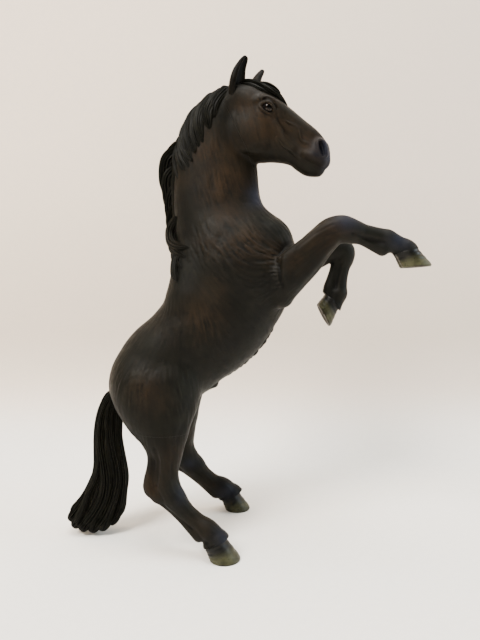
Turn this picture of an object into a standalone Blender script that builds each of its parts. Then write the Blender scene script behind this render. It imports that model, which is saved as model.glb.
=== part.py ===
"""Rearing horse figurine: painted mouldings held together by hidden pegs.

The form is drawn in millimetres, nose to +X, left side to +Y, soles at z = 0.
draw() turns a drawn point into metres, so the three overall sizes stretch the
drawing and everything that seats on it. Pegs, hooves, eyes and gaps have their
own sizes and don't stretch.
"""
import math

import bmesh
import bpy
from mathutils import Matrix, Vector

MM = 0.001

# Overall sizes of the figure
FIGURE_LONG = 0.1076      # tail tip to the outstretched hoof
FIGURE_TALL = 0.1429      # soles to ear tips
BARREL_WIDE = 0.0262      # across the ribs
STANCE = 0.0348           # between the middles of the hind soles
REACH_APART = 0.0254      # between the middles of the fore soles

# What the drawing measures, in drawn millimetres
DRAWN_LONG = 107.6
DRAWN_TALL = 142.9
DRAWN_BARREL = 26.2
HIP_OUT = 7.0
ELBOW_OUT = 7.2

# Fits
SEAM_GAP = 0.0003         # between faces that meet
FORM_VOXEL = 0.00085
LOCK_VOXEL = 0.00065

# Pegs: diameter and length
HEAD_PEG = (0.0034, 0.012)
LEG_PEG = (0.0030, 0.010)
TAIL_PEG = (0.0024, 0.009)

# Hooves
HOOF_LONG = 0.0098
HOOF_WIDE = 0.0084
HOOF_TALL = 0.0056
HOOF_LEAN = 0.60          # how far the coronet stands back, per unit of height
CORONET_SHARE = 0.80      # coronet size over sole size

# Head details
EYE_WIDE = 0.0039
EAR_LONG = 0.0108
EAR_WIDE = 0.0047
EAR_DEEP = 0.0031

# Placing of the head: its poll, its turn to the right and its slope down
POLL = (-1.0, -0.8, 131.0)
HEAD_TURN = math.radians(15.0)
HEAD_SLOPE = math.radians(36.4)

# Stations of each form: x, y, z, half depth in the side view, half width
TORSO = ((-32.6, 0, 41.8, 6.2, 6.5), (-30.0, 0, 45.9, 10.4, 10.0), (-24.8, 0, 50.4, 13.5, 12.2),
         (-15.7, 0, 58.0, 14.4, 12.9), (-7.0, 0, 66.9, 16.1, 13.1), (-1.9, 0, 77.0, 16.4, 12.3),
         (0.4, 0, 86.5, 14.5, 10.6))
CHEST = ((2.5, 0, 76.0, 11.1, 9.4), (7.4, 0, 84.2, 9.9, 9.4), (6.0, 0, 90.6, 9.0, 8.0))
NECK = ((-4.2, 0, 82.0, 15.0, 9.8), (-6.3, 0, 94.0, 13.8, 8.5), (-7.2, 0, 105.0, 13.0, 7.0),
        (-7.2, 0, 114.0, 12.1, 6.2), (-6.4, -0.3, 122.7, 9.8, 5.5), (-3.4, -0.8, 129.5, 6.6, 4.8))
SHEATH = ((-15.5, 0, 48.4, 2.8, 2.9), (-10.2, 0, 46.7, 2.2, 2.3), (-8.4, 0, 46.5, 1.5, 1.7))
# Hind leg: the second value is how far out, from the hip (0) to the sole's middle (1)
HIND = ((-24.5, 0.00, 46.0, 12.5, 7.7), (-22.4, 0.25, 38.0, 9.8, 6.8), (-20.0, 0.44, 31.6, 6.8, 5.2),
        (-21.3, 0.60, 26.4, 4.8, 4.0), (-22.3, 0.70, 21.2, 4.8, 3.6), (-18.9, 0.79, 16.2, 4.0, 3.1),
        (-15.6, 0.86, 12.6, 3.3, 2.9), (-12.1, 0.91, 9.8, 3.2, 2.9), (-9.0, 0.96, 8.0, 3.4, 3.2),
        (-6.0, 1.00, 6.0, 3.2, 3.1), (-4.6, 1.00, 3.6, 2.6, 2.6))
# Forelegs: the second value is how far out, from the elbow (0) to the sole's middle (1)
RIGHT_FORE = ((6.4, 0.00, 79.5, 6.8, 4.8), (10.9, 0.28, 77.4, 7.2, 4.8), (17.2, 0.53, 82.5, 6.1, 4.4),
              (23.3, 0.72, 88.2, 4.6, 3.7), (27.9, 0.83, 91.9, 4.1, 3.5), (31.4, 0.86, 91.4, 3.6, 3.2),
              (37.2, 0.93, 89.6, 2.9, 2.7), (42.3, 0.98, 88.0, 3.1, 2.9), (46.0, 1.00, 86.6, 3.1, 3.0),
              (48.8, 1.00, 84.2, 2.8, 2.8))
LEFT_FORE = ((6.4, 0.00, 79.5, 6.8, 4.8), (11.5, 0.28, 77.4, 6.8, 4.8), (19.0, 0.50, 81.5, 5.8, 4.4),
             (26.3, 0.73, 86.2, 4.7, 3.7), (31.4, 0.88, 88.2, 4.5, 3.7), (33.0, 0.90, 83.4, 3.8, 3.2),
             (31.4, 0.95, 77.3, 3.6, 2.8), (30.2, 1.00, 72.6, 3.7, 2.9), (29.0, 1.00, 69.6, 3.1, 2.9))
# Head: along the nose, to the left, up from the nose line, half depth, half width
SKULL = ((0, 0, 0.5, 5.2, 4.8), (4.0, 0, 1.3, 6.0, 5.7), (9.5, 0, 1.4, 6.5, 6.0), (15.0, 0, 1.5, 5.5, 4.9),
         (20.5, 0, 1.9, 4.5, 4.0), (25.6, 0, 1.4, 4.3, 3.7), (29.4, 0, 0.7, 4.1, 3.6))
JAW = ((5.0, 0, -5.3, 7.5, 5.3), (11.5, 0, -5.0, 7.9, 5.6), (17.5, 0, -3.8, 5.6, 4.5),
       (23.0, 0, -3.2, 3.9, 3.5), (28.5, 0, -3.1, 3.3, 3.2), (30.8, 0, -3.3, 2.7, 2.8))
TAIL = ((-36.6, 0, 43.4, 3.2, 3.1), (-39.4, 0, 37.6, 4.0, 3.9), (-40.1, 0, 29.6, 4.4, 4.7),
        (-39.7, 0, 22.6, 5.1, 5.1), (-40.1, 0, 15.8, 6.1, 5.3), (-41.9, 0, 9.2, 6.5, 5.1),
        (-45.4, 0, 4.8, 5.2, 4.5), (-51.3, 0, 4.0, 3.0, 2.6))
CREST = ((-4.4, 0, 133.0, 2.6, 3.2), (-9.6, 0, 130.0, 3.6, 4.2), (-14.0, 0, 124.0, 3.9, 4.4),
         (-17.6, 0, 117.0, 4.2, 4.4), (-19.2, 0, 108.5, 3.5, 3.9), (-18.6, 0, 98.0, 3.3, 3.6),
         (-18.2, 0, 89.5, 3.2, 3.4), (-17.4, 0, 82.5, 2.6, 2.8), (-16.8, 0, 77.5, 1.6, 1.8))
# Mane locks that hang from the crest over the right side
LOCKS = (((-10.5, -2.0, 130.5, 1.9, 1.4), (-13.0, -5.8, 124.0, 2.2, 1.5), (-15.6, -7.6, 116.0, 1.4, 1.2)),
         ((-14.5, -2.0, 124.0, 2.2, 1.5), (-17.4, -5.6, 117.0, 2.3, 1.5), (-18.2, -7.2, 109.0, 1.3, 1.2)),
         ((-17.6, -1.8, 114.0, 2.3, 1.6), (-18.6, -5.2, 106.5, 2.3, 1.5), (-17.6, -7.4, 99.0, 1.3, 1.2)),
         ((-18.0, -1.6, 101.0, 2.2, 1.6), (-17.4, -5.4, 94.0, 2.1, 1.5), (-16.4, -7.6, 87.0, 1.2, 1.2)))
FORELOCK = ((-1.0, -0.7, 135.2, 1.8, 2.6), (2.6, -1.6, 135.3, 2.2, 3.4), (6.4, -2.6, 133.6, 2.2, 3.3),
            (10.0, -3.6, 131.0, 1.8, 2.4), (12.6, -4.3, 128.6, 1.0, 1.2))

# Seams, in drawn millimetres
HEAD_SEAM = (-0.4, 120.5)       # x, z of a point on the seam behind the jaw
HEAD_SEAM_LEAN = math.radians(25.5)
SHOULDER_SEAM = (11.0, 11.6)    # x, distance out
SHOULDER_TURN = math.radians(41.0)
THIGH_SEAM = 34.0               # z

# Where each sole lies, which way the toe points and which way the leg goes, drawn
RIGHT_HIND_SOLE = ((-4.3, 0.0), (1.0, 0.0, 0.0), (0.0, 0.0, 1.0))
LEFT_HIND_SOLE = ((-1.0, 0.0), (1.0, 0.0, 0.0), (0.0, 0.0, 1.0))
RIGHT_FORE_SOLE = ((49.2, 81.2), (0.995, 0.0, 0.06), (-0.06, 0.0, 0.995))
LEFT_FORE_SOLE = ((27.4, 67.1), (0.47, 0.0, -0.88), (0.88, 0.0, 0.47))
LEFT_HIND_AHEAD = 3.3           # how far the left hind leg steps ahead of the right

FINISHES = {
    "coat": ((0.042, 0.030, 0.024), 0.48, 0.0),
    "hair": ((0.017, 0.018, 0.016), 0.42, 0.0),
    "horn": ((0.150, 0.130, 0.080), 0.40, 0.0),
    "eye": ((0.006, 0.005, 0.005), 0.08, 0.0),
    "peg": ((0.620, 0.600, 0.540), 0.50, 0.0),
}

SIDES = {"right": -1, "left": 1}


def stretch():
    """Metres for each drawn millimetre along x, y and z."""
    return Vector((FIGURE_LONG / DRAWN_LONG, BARREL_WIDE / DRAWN_BARREL, FIGURE_TALL / DRAWN_TALL))


def draw(x, y, z):
    """A drawn point in metres."""
    scale = stretch()
    return Vector((x * scale.x, y * scale.y, z * scale.z))


def out(share, root, apart, side):
    """Drawn y of a leg station: share 0 is at its root, share 1 over its sole."""
    sole = apart / 2 / stretch().y
    return side * (root + share * (sole - root))


def leg_stations(rows, root, apart, side, ahead=0.0):
    """A leg's stations on one side, the lower end moved ahead."""
    placed = []
    for x, share, z, deep, wide in rows:
        placed.append((x + ahead * share, out(share, root, apart, side), z, deep, wide))
    return placed


def head_axes():
    """Unit vectors along the nose, to the left, and up from the nose line."""
    turn, slope = HEAD_TURN, HEAD_SLOPE
    along = Vector((math.cos(slope) * math.cos(turn), -math.cos(slope) * math.sin(turn), -math.sin(slope)))
    left = Vector((math.sin(turn), math.cos(turn), 0.0))
    return along, left, along.cross(left)


def on_head(along, left, up):
    """Drawn point of a place given in the head's own directions."""
    axes = head_axes()
    return Vector(POLL) + axes[0] * along + axes[1] * left + axes[2] * up


def head_stations(rows):
    placed = []
    for along, left, up, deep, wide in rows:
        placed.append((*on_head(along, left, up), deep, wide))
    return placed


def smooth_stations(stations, steps):
    """Stations on a Catmull-Rom curve through the given ones."""
    rows = [list(row) for row in stations]
    before = [2 * a - b for a, b in zip(rows[0], rows[1])]
    after = [2 * a - b for a, b in zip(rows[-1], rows[-2])]
    rows = [before, *rows, after]
    fine = []
    for i in range(1, len(rows) - 2):
        for step in range(steps):
            t = step / steps
            weights = ((-t + 2 * t**2 - t**3) / 2, (2 - 5 * t**2 + 3 * t**3) / 2,
                       (t + 4 * t**2 - 3 * t**3) / 2, (t**3 - t**2) / 2)
            four = rows[i - 1:i + 3]
            fine.append([sum(w * row[k] for w, row in zip(weights, four)) for k in range(5)])
    fine.append(rows[-2])
    return fine


def loft(name, stations, across=(0.0, 1.0, 0.0), steps=4, sides=20):
    """A closed form through elliptical sections, with a dome at each end."""
    fine = smooth_stations(stations, steps)
    middles = [Vector(row[:3]) for row in fine]
    rings = []
    for i, (*_, deep, wide) in enumerate(fine):
        ahead = (middles[min(i + 1, len(fine) - 1)] - middles[max(i - 1, 0)]).normalized()
        side = Vector(across)
        side = (side - ahead * side.dot(ahead)).normalized()
        rings.append((middles[i], ahead, side, side.cross(ahead), deep, wide))
    dome = [math.radians(angle) for angle in (25, 50, 72)]
    first, last = rings[0], rings[-1]

    def domed(ring, sign):
        middle, ahead, side, up, deep, wide = ring
        reach = min(deep, wide)
        for angle in dome:
            shrink = math.cos(angle)
            yield (middle + sign * ahead * reach * math.sin(angle), ahead, side, up, deep * shrink, wide * shrink)

    rings = [*reversed(list(domed(first, -1))), *rings, *domed(last, 1)]
    mesh = bmesh.new()
    loops = []
    for middle, _, side, up, deep, wide in rings:
        loop = []
        for k in range(sides):
            angle = math.tau * k / sides
            point = middle + side * wide * math.cos(angle) + up * deep * math.sin(angle)
            loop.append(mesh.verts.new(draw(*point)))
        loops.append(loop)
    for low, high in zip(loops, loops[1:]):
        for k in range(sides):
            mesh.faces.new((low[k], low[k - 1], high[k - 1], high[k]))
    tip_a = first[0] - first[1] * min(first[4], first[5])
    tip_b = last[0] + last[1] * min(last[4], last[5])
    ends = (mesh.verts.new(draw(*tip_a)), mesh.verts.new(draw(*tip_b)))
    for k in range(sides):
        mesh.faces.new((loops[0][k - 1], loops[0][k], ends[0]))
        mesh.faces.new((loops[-1][k], loops[-1][k - 1], ends[1]))
    bmesh.ops.recalc_face_normals(mesh, faces=mesh.faces)
    return from_bmesh(name, mesh)


def from_bmesh(name, mesh):
    data = bpy.data.meshes.new(name)
    mesh.to_mesh(data)
    mesh.free()
    return bpy.data.objects.new(name, data)


def add_to(collection, thing, hidden=False):
    collection.objects.link(thing)
    if hidden:
        thing.hide_render = True
        thing.display_type = "WIRE"
    return thing


def evaluated(thing):
    """The object's mesh with its modifiers done."""
    graph = bpy.context.evaluated_depsgraph_get()
    return bpy.data.meshes.new_from_object(thing.evaluated_get(graph))


def united(name, parts, helpers, voxel, smooth, keep):
    """Several closed forms as one skin: joined, remeshed, smoothed and thinned out."""
    whole = bmesh.new()
    for part in parts:
        whole.from_mesh(part.data)
        bpy.data.objects.remove(part)
    form = add_to(helpers, from_bmesh(name, whole), hidden=True)
    remesh = form.modifiers.new("one skin", "REMESH")
    remesh.mode = "VOXEL"
    remesh.voxel_size = voxel
    relax = form.modifiers.new("relax", "SMOOTH")
    relax.factor = 0.5
    relax.iterations = smooth
    thin = form.modifiers.new("thin out", "DECIMATE")
    thin.ratio = keep
    mesh = evaluated(form)
    form.modifiers.clear()
    form.data = mesh
    return form


def grown(name, form, helpers, by):
    """A copy of a form that stands off from it by a gap."""
    thing = add_to(helpers, bpy.data.objects.new(name, form.data), hidden=True)
    push = thing.modifiers.new("gap", "DISPLACE")
    push.mid_level = 0.0
    push.strength = by
    return thing


def prism(name, outline, low, high, axis, helpers):
    """A cutter: a flat outline carried from low to high along y or z, all in metres."""
    mesh = bmesh.new()
    if axis == "z":
        verts = [mesh.verts.new((a, b, low)) for a, b in outline]
        way = Vector((0.0, 0.0, high - low))
    else:
        verts = [mesh.verts.new((a, low, b)) for a, b in outline]
        way = Vector((0.0, high - low, 0.0))
    face = mesh.faces.new(verts)
    grown_face = bmesh.ops.extrude_face_region(mesh, geom=[face])
    moved = [v for v in grown_face["geom"] if isinstance(v, bmesh.types.BMVert)]
    bmesh.ops.translate(mesh, verts=moved, vec=way)
    bmesh.ops.recalc_face_normals(mesh, faces=mesh.faces)
    return add_to(helpers, from_bmesh(name, mesh), hidden=True)


def rod(name, middle, along, diameter, length, segments=24):
    """A round bar about its middle, as an object that is placed and turned."""
    mesh = bmesh.new()
    bmesh.ops.create_cone(mesh, cap_ends=True, segments=segments, radius1=diameter / 2,
                          radius2=diameter / 2, depth=length)
    thing = from_bmesh(name, mesh)
    thing.location = middle
    thing.rotation_mode = "QUATERNION"
    thing.rotation_quaternion = Vector(along).to_track_quat("Z", "Y")
    return thing


def bool_with(thing, other, operation):
    step = thing.modifiers.new(f"{operation.lower()} {other.name}", "BOOLEAN")
    step.operation = operation
    step.object = other
    step.solver = "EXACT"


def cut(thing, *others):
    for other in others:
        bool_with(thing, other, "DIFFERENCE")


def keep_inside(thing, other):
    bool_with(thing, other, "INTERSECT")


def paint(thing, finish):
    colour, roughness, metallic = FINISHES[finish]
    material = bpy.data.materials.new(f"{thing.name} {finish}")
    material.use_nodes = True
    shader = material.node_tree.nodes["Principled BSDF"]
    shader.inputs["Base Color"].default_value = (*colour, 1.0)
    shader.inputs["Roughness"].default_value = roughness
    shader.inputs["Metallic"].default_value = metallic
    material.diffuse_color = (*colour, 1.0)
    thing.data.materials.clear()
    thing.data.materials.append(material)


class Figure:
    """The figure's collections and the empty that carries its pieces."""

    def __init__(self):
        for thing in list(bpy.data.objects):
            bpy.data.objects.remove(thing)
        self.parts = bpy.data.collections.new("rearing horse")
        self.helpers = bpy.data.collections.new("cutters")
        for collection in (self.parts, self.helpers):
            bpy.context.scene.collection.children.link(collection)
        self.stand = bpy.data.objects.new("figure", None)
        self.parts.objects.link(self.stand)

    def piece(self, name, thing, finish):
        """Take an object in as one of the figure's pieces."""
        thing.name = name
        thing.data.name = name
        self.parts.objects.link(thing)
        thing.parent = self.stand
        paint(thing, finish)
        return thing

    def from_form(self, name, form, pivot, finish):
        """A piece that is cut out of a form, with its origin at pivot."""
        mesh = form.data.copy()
        mesh.transform(Matrix.Translation(-pivot))
        thing = bpy.data.objects.new(name, mesh)
        thing.location = pivot
        return self.piece(name, thing, finish)


def horse_form(helpers):
    """Torso, neck, head and legs as one skin."""
    parts = [loft("torso", TORSO), loft("chest", CHEST), loft("neck", NECK), loft("sheath", SHEATH)]
    left = head_axes()[1]
    parts.append(loft("skull", head_stations(SKULL), across=left))
    parts.append(loft("jaw", head_stations(JAW), across=left))
    for side, ahead in ((SIDES["right"], 0.0), (SIDES["left"], LEFT_HIND_AHEAD)):
        parts.append(loft("hind", leg_stations(HIND, HIP_OUT, STANCE, side, ahead)))
    parts.append(loft("fore", leg_stations(RIGHT_FORE, ELBOW_OUT, REACH_APART, SIDES["right"])))
    parts.append(loft("fore", leg_stations(LEFT_FORE, ELBOW_OUT, REACH_APART, SIDES["left"])))
    return united("horse form", parts, helpers, FORM_VOXEL, smooth=7, keep=0.095)


def head_cutter(name, offset, helpers):
    """Everything ahead of the seam behind the jaw; offset moves the seam forward."""
    seam = draw(HEAD_SEAM[0], 0, HEAD_SEAM[1])
    along = Vector((math.cos(HEAD_SEAM_LEAN), math.sin(HEAD_SEAM_LEAN)))
    up = Vector((-along.y, along.x))
    base = Vector((seam.x, seam.z)) + along * offset
    below, above, reach = 0.0165, 0.022, 0.060
    low, high = base - up * below, base + up * above
    outline = [low, Vector((reach, low.y)), Vector((reach, 0.2)), Vector((high.x, 0.2)), high]
    return prism(name, outline, -0.030, 0.030, "y", helpers)


def shoulder_cutter(name, side, offset, helpers):
    """Everything ahead of the oblique seam on one side; offset moves the seam outward."""
    turn = side * SHOULDER_TURN
    ahead = Vector((math.cos(turn), math.sin(turn)))
    across = Vector((-ahead.y, ahead.x)) * side
    seam = draw(SHOULDER_SEAM[0], side * SHOULDER_SEAM[1], 0)
    base = Vector((seam.x, seam.y)) + ahead * offset
    clear = side * SEAM_GAP
    to_middle = (clear - base.y) / across.y
    inner = base + across * to_middle
    outer = base + across * 0.022 * (1 if to_middle < 0 else -1)
    reach = 0.075
    outline = [inner, Vector((reach, clear)), Vector((reach, outer.y)), outer]
    low, high = draw(0, 0, 58).z, draw(0, 0, 102).z
    return prism(name, outline, low, high, "z", helpers)


def thigh_cutter(name, side, offset, helpers):
    """Everything below the thigh seam on one side."""
    top = draw(0, 0, THIGH_SEAM).z + offset
    clear = side * SEAM_GAP
    far = side * 0.045
    outline = [(-0.055, clear), (0.030, clear), (0.030, far), (-0.055, far)]
    return prism(name, outline, -0.010, top, "z", helpers)


def hoof_frame(sole, side, apart):
    """Placing matrix of a hoof: x to the toe, z to the leg, origin in the sole."""
    (x, z), toe, up = sole
    y = side * apart / 2
    toe = Vector(toe).normalized()
    up = Vector(up)
    up = (up - toe * up.dot(toe)).normalized()
    left = up.cross(toe)
    place = draw(x, 0, z)
    turn = Matrix((toe, left, up)).transposed().to_4x4()
    return Matrix.Translation((place.x, y, place.z)) @ turn


def hoof_block(name):
    """A slanted, tapering block with a flat sole, from four oval sections."""
    sides = 28
    levels = ((0.0, 1.0), (0.06, 1.02), (0.55, (1 + CORONET_SHARE) / 2), (1.0, CORONET_SHARE))
    mesh = bmesh.new()
    loops = []
    for share, size in levels:
        height = share * HOOF_TALL
        loop = []
        for k in range(sides):
            angle = math.tau * k / sides
            heel = 1.0 - 0.10 * max(0.0, -math.cos(angle))
            x = size * HOOF_LONG / 2 * math.cos(angle) * heel - HOOF_LEAN * height
            y = size * HOOF_WIDE / 2 * math.sin(angle)
            loop.append(mesh.verts.new((x, y, height)))
        loops.append(loop)
    for low, high in zip(loops, loops[1:]):
        for k in range(sides):
            mesh.faces.new((low[k - 1], low[k], high[k], high[k - 1]))
    mesh.faces.new(list(reversed(loops[0])))
    mesh.faces.new(loops[-1])
    return from_bmesh(name, mesh)


def coronet_cutter(name, frame, helpers):
    """Takes a leg's end away below the top of its hoof, with the gap."""
    top = HOOF_TALL + SEAM_GAP
    half = HOOF_LONG * 0.62
    mesh = bmesh.new()
    bmesh.ops.create_cube(mesh, size=1.0)
    bmesh.ops.scale(mesh, verts=mesh.verts, vec=(2.6 * half, 2.2 * half, 2 * top))
    bmesh.ops.translate(mesh, verts=mesh.verts, vec=(-HOOF_LEAN * HOOF_TALL, 0.0, 0.0))
    thing = from_bmesh(name, mesh)
    thing.matrix_world = frame
    return add_to(helpers, thing, hidden=True)


def ear(figure, name, root, tip, face, head_grown):
    """A leaf-shaped cup on the head, open to face."""
    root, tip = draw(*root), draw(*tip)
    along = (tip - root).normalized()
    face = Vector(face)
    face = (face - along * face.dot(along)).normalized()
    width = along.cross(face)
    profile = ((-0.10, 0.66), (0.0, 0.74), (0.18, 0.92), (0.36, 1.0), (0.55, 0.93), (0.72, 0.74),
               (0.86, 0.48), (0.95, 0.25), (1.0, 0.06))
    sides = 16
    mesh = bmesh.new()
    loops = []
    for share, size in profile:
        hollow = 0.85 * max(0.0, min(1.0, (share - 0.05) / 0.2)) * max(0.0, min(1.0, (1 - share) / 0.25))
        loop = []
        for k in range(sides):
            angle = math.tau * k / sides
            across = size * EAR_WIDE / 2 * math.cos(angle)
            front = size * EAR_DEEP / 2 * math.sin(angle)
            if front > 0:
                front -= hollow * size * EAR_DEEP / 2 * 1.35 * math.sin(angle) ** 2
            point = root + along * EAR_LONG * share + width * across + face * front
            loop.append(mesh.verts.new(point))
        loops.append(loop)
    for low, high in zip(loops, loops[1:]):
        for k in range(sides):
            mesh.faces.new((low[k - 1], low[k], high[k], high[k - 1]))
    mesh.faces.new(list(reversed(loops[0])))
    mesh.faces.new(loops[-1])
    bmesh.ops.recalc_face_normals(mesh, faces=mesh.faces)
    thing = figure.piece(name, from_bmesh(name, mesh), "coat")
    cut(thing, head_grown)
    return thing


def peg_and_bore(figure, name, middle, along, size):
    """A peg piece and the longer, wider cutter of the holes it sits in."""
    diameter, length = size
    figure.piece(name, rod(name, middle, along, diameter, length), "peg")
    bore = rod(f"{name} bore", middle, along, diameter + 2 * SEAM_GAP, length + 2 * SEAM_GAP)
    return add_to(figure.helpers, bore, hidden=True)


def build():
    figure = Figure()
    helpers = figure.helpers
    form = horse_form(helpers)
    skin_gap = grown("horse form with gap", form, helpers, SEAM_GAP)
    half = SEAM_GAP / 2

    # pegs
    seam = draw(HEAD_SEAM[0] - 0.6, -0.9, HEAD_SEAM[1] + 1.0)
    head_way = (math.cos(HEAD_SEAM_LEAN), 0.0, math.sin(HEAD_SEAM_LEAN))
    head_bore = peg_and_bore(figure, "head_pin", seam, head_way, HEAD_PEG)
    leg_bores = {}
    for word, side in SIDES.items():
        middle = draw(12.8, side * 9.5, 79.2)
        leg_bores[word, "fore"] = peg_and_bore(figure, f"{word}_foreleg_pin", middle,
                                               (0.76, side * 0.18, 0.60), LEG_PEG)
        ahead = LEFT_HIND_AHEAD * 0.3 if word == "left" else 0.0
        middle = draw(-20.6 + ahead, out(0.40, HIP_OUT, STANCE, side), THIGH_SEAM)
        leg_bores[word, "hind"] = peg_and_bore(figure, f"{word}_hind_leg_pin", middle, (0, 0, 1), LEG_PEG)
    tail_way = (-0.62, 0.0, -0.78)
    tail_bore = peg_and_bore(figure, "tail_pin", draw(-36.2, 0, 42.6), tail_way, TAIL_PEG)

    # body
    body = figure.from_form("body", form, draw(-7.4, 0, 67), "coat")
    cut(body, head_cutter("head room", -half, helpers))
    for word, side in SIDES.items():
        cut(body, shoulder_cutter(f"{word} foreleg room", side, -half, helpers))
        cut(body, thigh_cutter(f"{word} hind leg room", side, half, helpers))
    cut(body, head_bore, tail_bore, *leg_bores.values())

    # head with its eyes and ears
    head = figure.from_form("head", form, draw(*POLL), "coat")
    keep_inside(head, head_cutter("head block", half, helpers))
    cut(head, head_bore)
    for word, side in SIDES.items():
        add_eye(figure, head, word, side)
    ears = [
        ear(figure, "right_ear", (-1.3, -4.3, 132.6), (1.5, -5.3, 142.9), (0.80, -0.60, 0.0), skin_gap),
        ear(figure, "left_ear", (2.6, 2.6, 133.2), (6.4, 4.3, 142.8), (0.90, 0.30, 0.0), skin_gap),
    ]
    ear_gaps = [grown(f"{thing.name} with gap", thing, helpers, SEAM_GAP) for thing in ears]

    # legs and hooves
    soles = {
        ("right", "hind"): (RIGHT_HIND_SOLE, STANCE),
        ("left", "hind"): (LEFT_HIND_SOLE, STANCE),
        ("right", "fore"): (RIGHT_FORE_SOLE, REACH_APART),
        ("left", "fore"): (LEFT_FORE_SOLE, REACH_APART),
    }
    for (word, end), (sole, apart) in soles.items():
        side = SIDES[word]
        if end == "hind":
            name = f"{word}_hind_leg"
            pivot = draw(-20.6, out(0.40, HIP_OUT, STANCE, side), THIGH_SEAM)
            block = thigh_cutter(f"{name} block", side, -half, helpers)
        else:
            name = f"{word}_foreleg"
            pivot = draw(12.8, side * 9.5, 79.2)
            block = shoulder_cutter(f"{name} block", side, half, helpers)
        leg = figure.from_form(name, form, pivot, "coat")
        keep_inside(leg, block)
        cut(leg, leg_bores[word, end])
        frame = hoof_frame(sole, side, apart)
        cut(leg, coronet_cutter(f"{name} end", frame, helpers))
        hoof = figure.piece(f"{word}_{end}_hoof", hoof_block(f"{word}_{end}_hoof"), "horn")
        hoof.matrix_world = frame

    # hair
    mane_parts = [loft("crest", CREST)]
    mane_parts += [loft("lock", lock, sides=12) for lock in LOCKS]
    mane_form = united("mane form", mane_parts, helpers, LOCK_VOXEL, smooth=4, keep=0.08)
    mane = figure.from_form("mane", mane_form, draw(*CREST[0][:3]), "hair")
    forelock = figure.piece("forelock", loft("forelock", FORELOCK, steps=3, sides=16), "hair")
    cut(forelock, skin_gap, *ear_gaps)
    cut(mane, skin_gap, *ear_gaps, grown("forelock with gap", forelock, helpers, SEAM_GAP))
    tail_form = united("tail form", [loft("tail", TAIL)], helpers, LOCK_VOXEL, smooth=4, keep=0.08)
    tail = figure.from_form("tail", tail_form, draw(*TAIL[0][:3]), "hair")
    cut(tail, skin_gap, tail_bore, ground_cutter(helpers))
    return figure


def add_eye(figure, head, word, side):
    """A ball that stands a little out of the head, and its socket."""
    place = draw(*on_head(10.9, side * 4.25, 3.05))
    mesh = bmesh.new()
    bmesh.ops.create_uvsphere(mesh, u_segments=20, v_segments=12, radius=EYE_WIDE / 2)
    eye = figure.piece(f"{word}_eye", from_bmesh("eye", mesh), "eye")
    eye.location = place
    mesh = bmesh.new()
    bmesh.ops.create_uvsphere(mesh, u_segments=20, v_segments=12, radius=EYE_WIDE / 2 + SEAM_GAP)
    socket = from_bmesh(f"{word} eye socket", mesh)
    socket.location = place
    cut(head, add_to(figure.helpers, socket, hidden=True))


def ground_cutter(helpers):
    """Trims what hangs below the surface that the soles stand on."""
    outline = [(-0.080, -0.020), (0.0, -0.020), (0.0, 0.0), (-0.080, 0.0)]
    return prism("ground", outline, -0.030, 0.030, "y", helpers)


build()
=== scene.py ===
import math

import bmesh
import bpy
import numpy as np
from mathutils import Matrix, Vector


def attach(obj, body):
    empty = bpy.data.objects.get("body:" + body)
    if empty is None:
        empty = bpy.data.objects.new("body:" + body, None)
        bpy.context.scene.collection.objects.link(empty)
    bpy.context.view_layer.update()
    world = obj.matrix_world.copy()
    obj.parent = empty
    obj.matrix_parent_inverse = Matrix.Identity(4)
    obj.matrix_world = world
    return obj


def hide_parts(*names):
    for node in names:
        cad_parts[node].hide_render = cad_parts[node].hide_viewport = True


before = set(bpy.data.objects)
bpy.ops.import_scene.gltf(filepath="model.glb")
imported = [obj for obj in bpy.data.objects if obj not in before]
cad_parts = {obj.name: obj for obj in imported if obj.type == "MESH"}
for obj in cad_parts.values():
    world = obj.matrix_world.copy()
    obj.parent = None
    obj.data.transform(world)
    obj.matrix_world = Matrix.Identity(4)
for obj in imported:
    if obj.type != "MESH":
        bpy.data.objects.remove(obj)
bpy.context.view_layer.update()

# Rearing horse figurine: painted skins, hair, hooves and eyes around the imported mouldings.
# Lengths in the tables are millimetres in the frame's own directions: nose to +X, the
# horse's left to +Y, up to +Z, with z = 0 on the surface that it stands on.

MM = 0.001
FAR = 60.0                # distance held where nothing has been added yet
BLEND_REACH = 6.2         # how far outside a swept form its distance is worked out
CORNERS = [(a, b, c) for a in (0, 1) for b in (0, 1) for c in (0, 1)]
SIDES = {"right": -1.0, "left": 1.0}

# Grid steps of the sculpted skins
BODY_STEP = 0.40
LEG_STEP = 0.30
HEAD_STEP = 0.24
EAR_STEP = 0.17


# ---------------------------------------------------------------- paths and fields

def curve(rows, step=0.6):
    """Rows of numbers along a smooth path: a cubic through the given rows, with each row's
    slope taken from its neighbours and weighted by their distances."""
    p = np.asarray(rows, float)
    if len(p) == 2:
        p = np.vstack([p[0], (p[0] + p[1]) / 2, p[1]])
    gaps = np.linalg.norm(np.diff(p[:, :3], axis=0), axis=1)
    t = np.concatenate([[0], np.cumsum(np.maximum(gaps, 1e-6))])
    u = np.linspace(0, t[-1], max(3, int(t[-1] / step) + 1))
    slope = np.empty_like(p)
    ahead, behind = (t[2:] - t[1:-1])[:, None], (t[1:-1] - t[:-2])[:, None]
    slope[1:-1] = ((p[2:] - p[1:-1]) / ahead * behind + (p[1:-1] - p[:-2]) / behind * ahead) / (ahead + behind)
    slope[0] = (p[1] - p[0]) / (t[1] - t[0])
    slope[-1] = (p[-1] - p[-2]) / (t[-1] - t[-2])
    i = np.clip(np.searchsorted(t, u, side="right") - 1, 0, len(t) - 2)
    h = (t[i + 1] - t[i])[:, None]
    s = (u - t[i])[:, None] / h
    return ((2 * s**3 - 3 * s**2 + 1) * p[i] + (s**3 - 2 * s**2 + s) * h * slope[i]
            + (-2 * s**3 + 3 * s**2) * p[i + 1] + (s**3 - s**2) * h * slope[i + 1])


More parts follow.
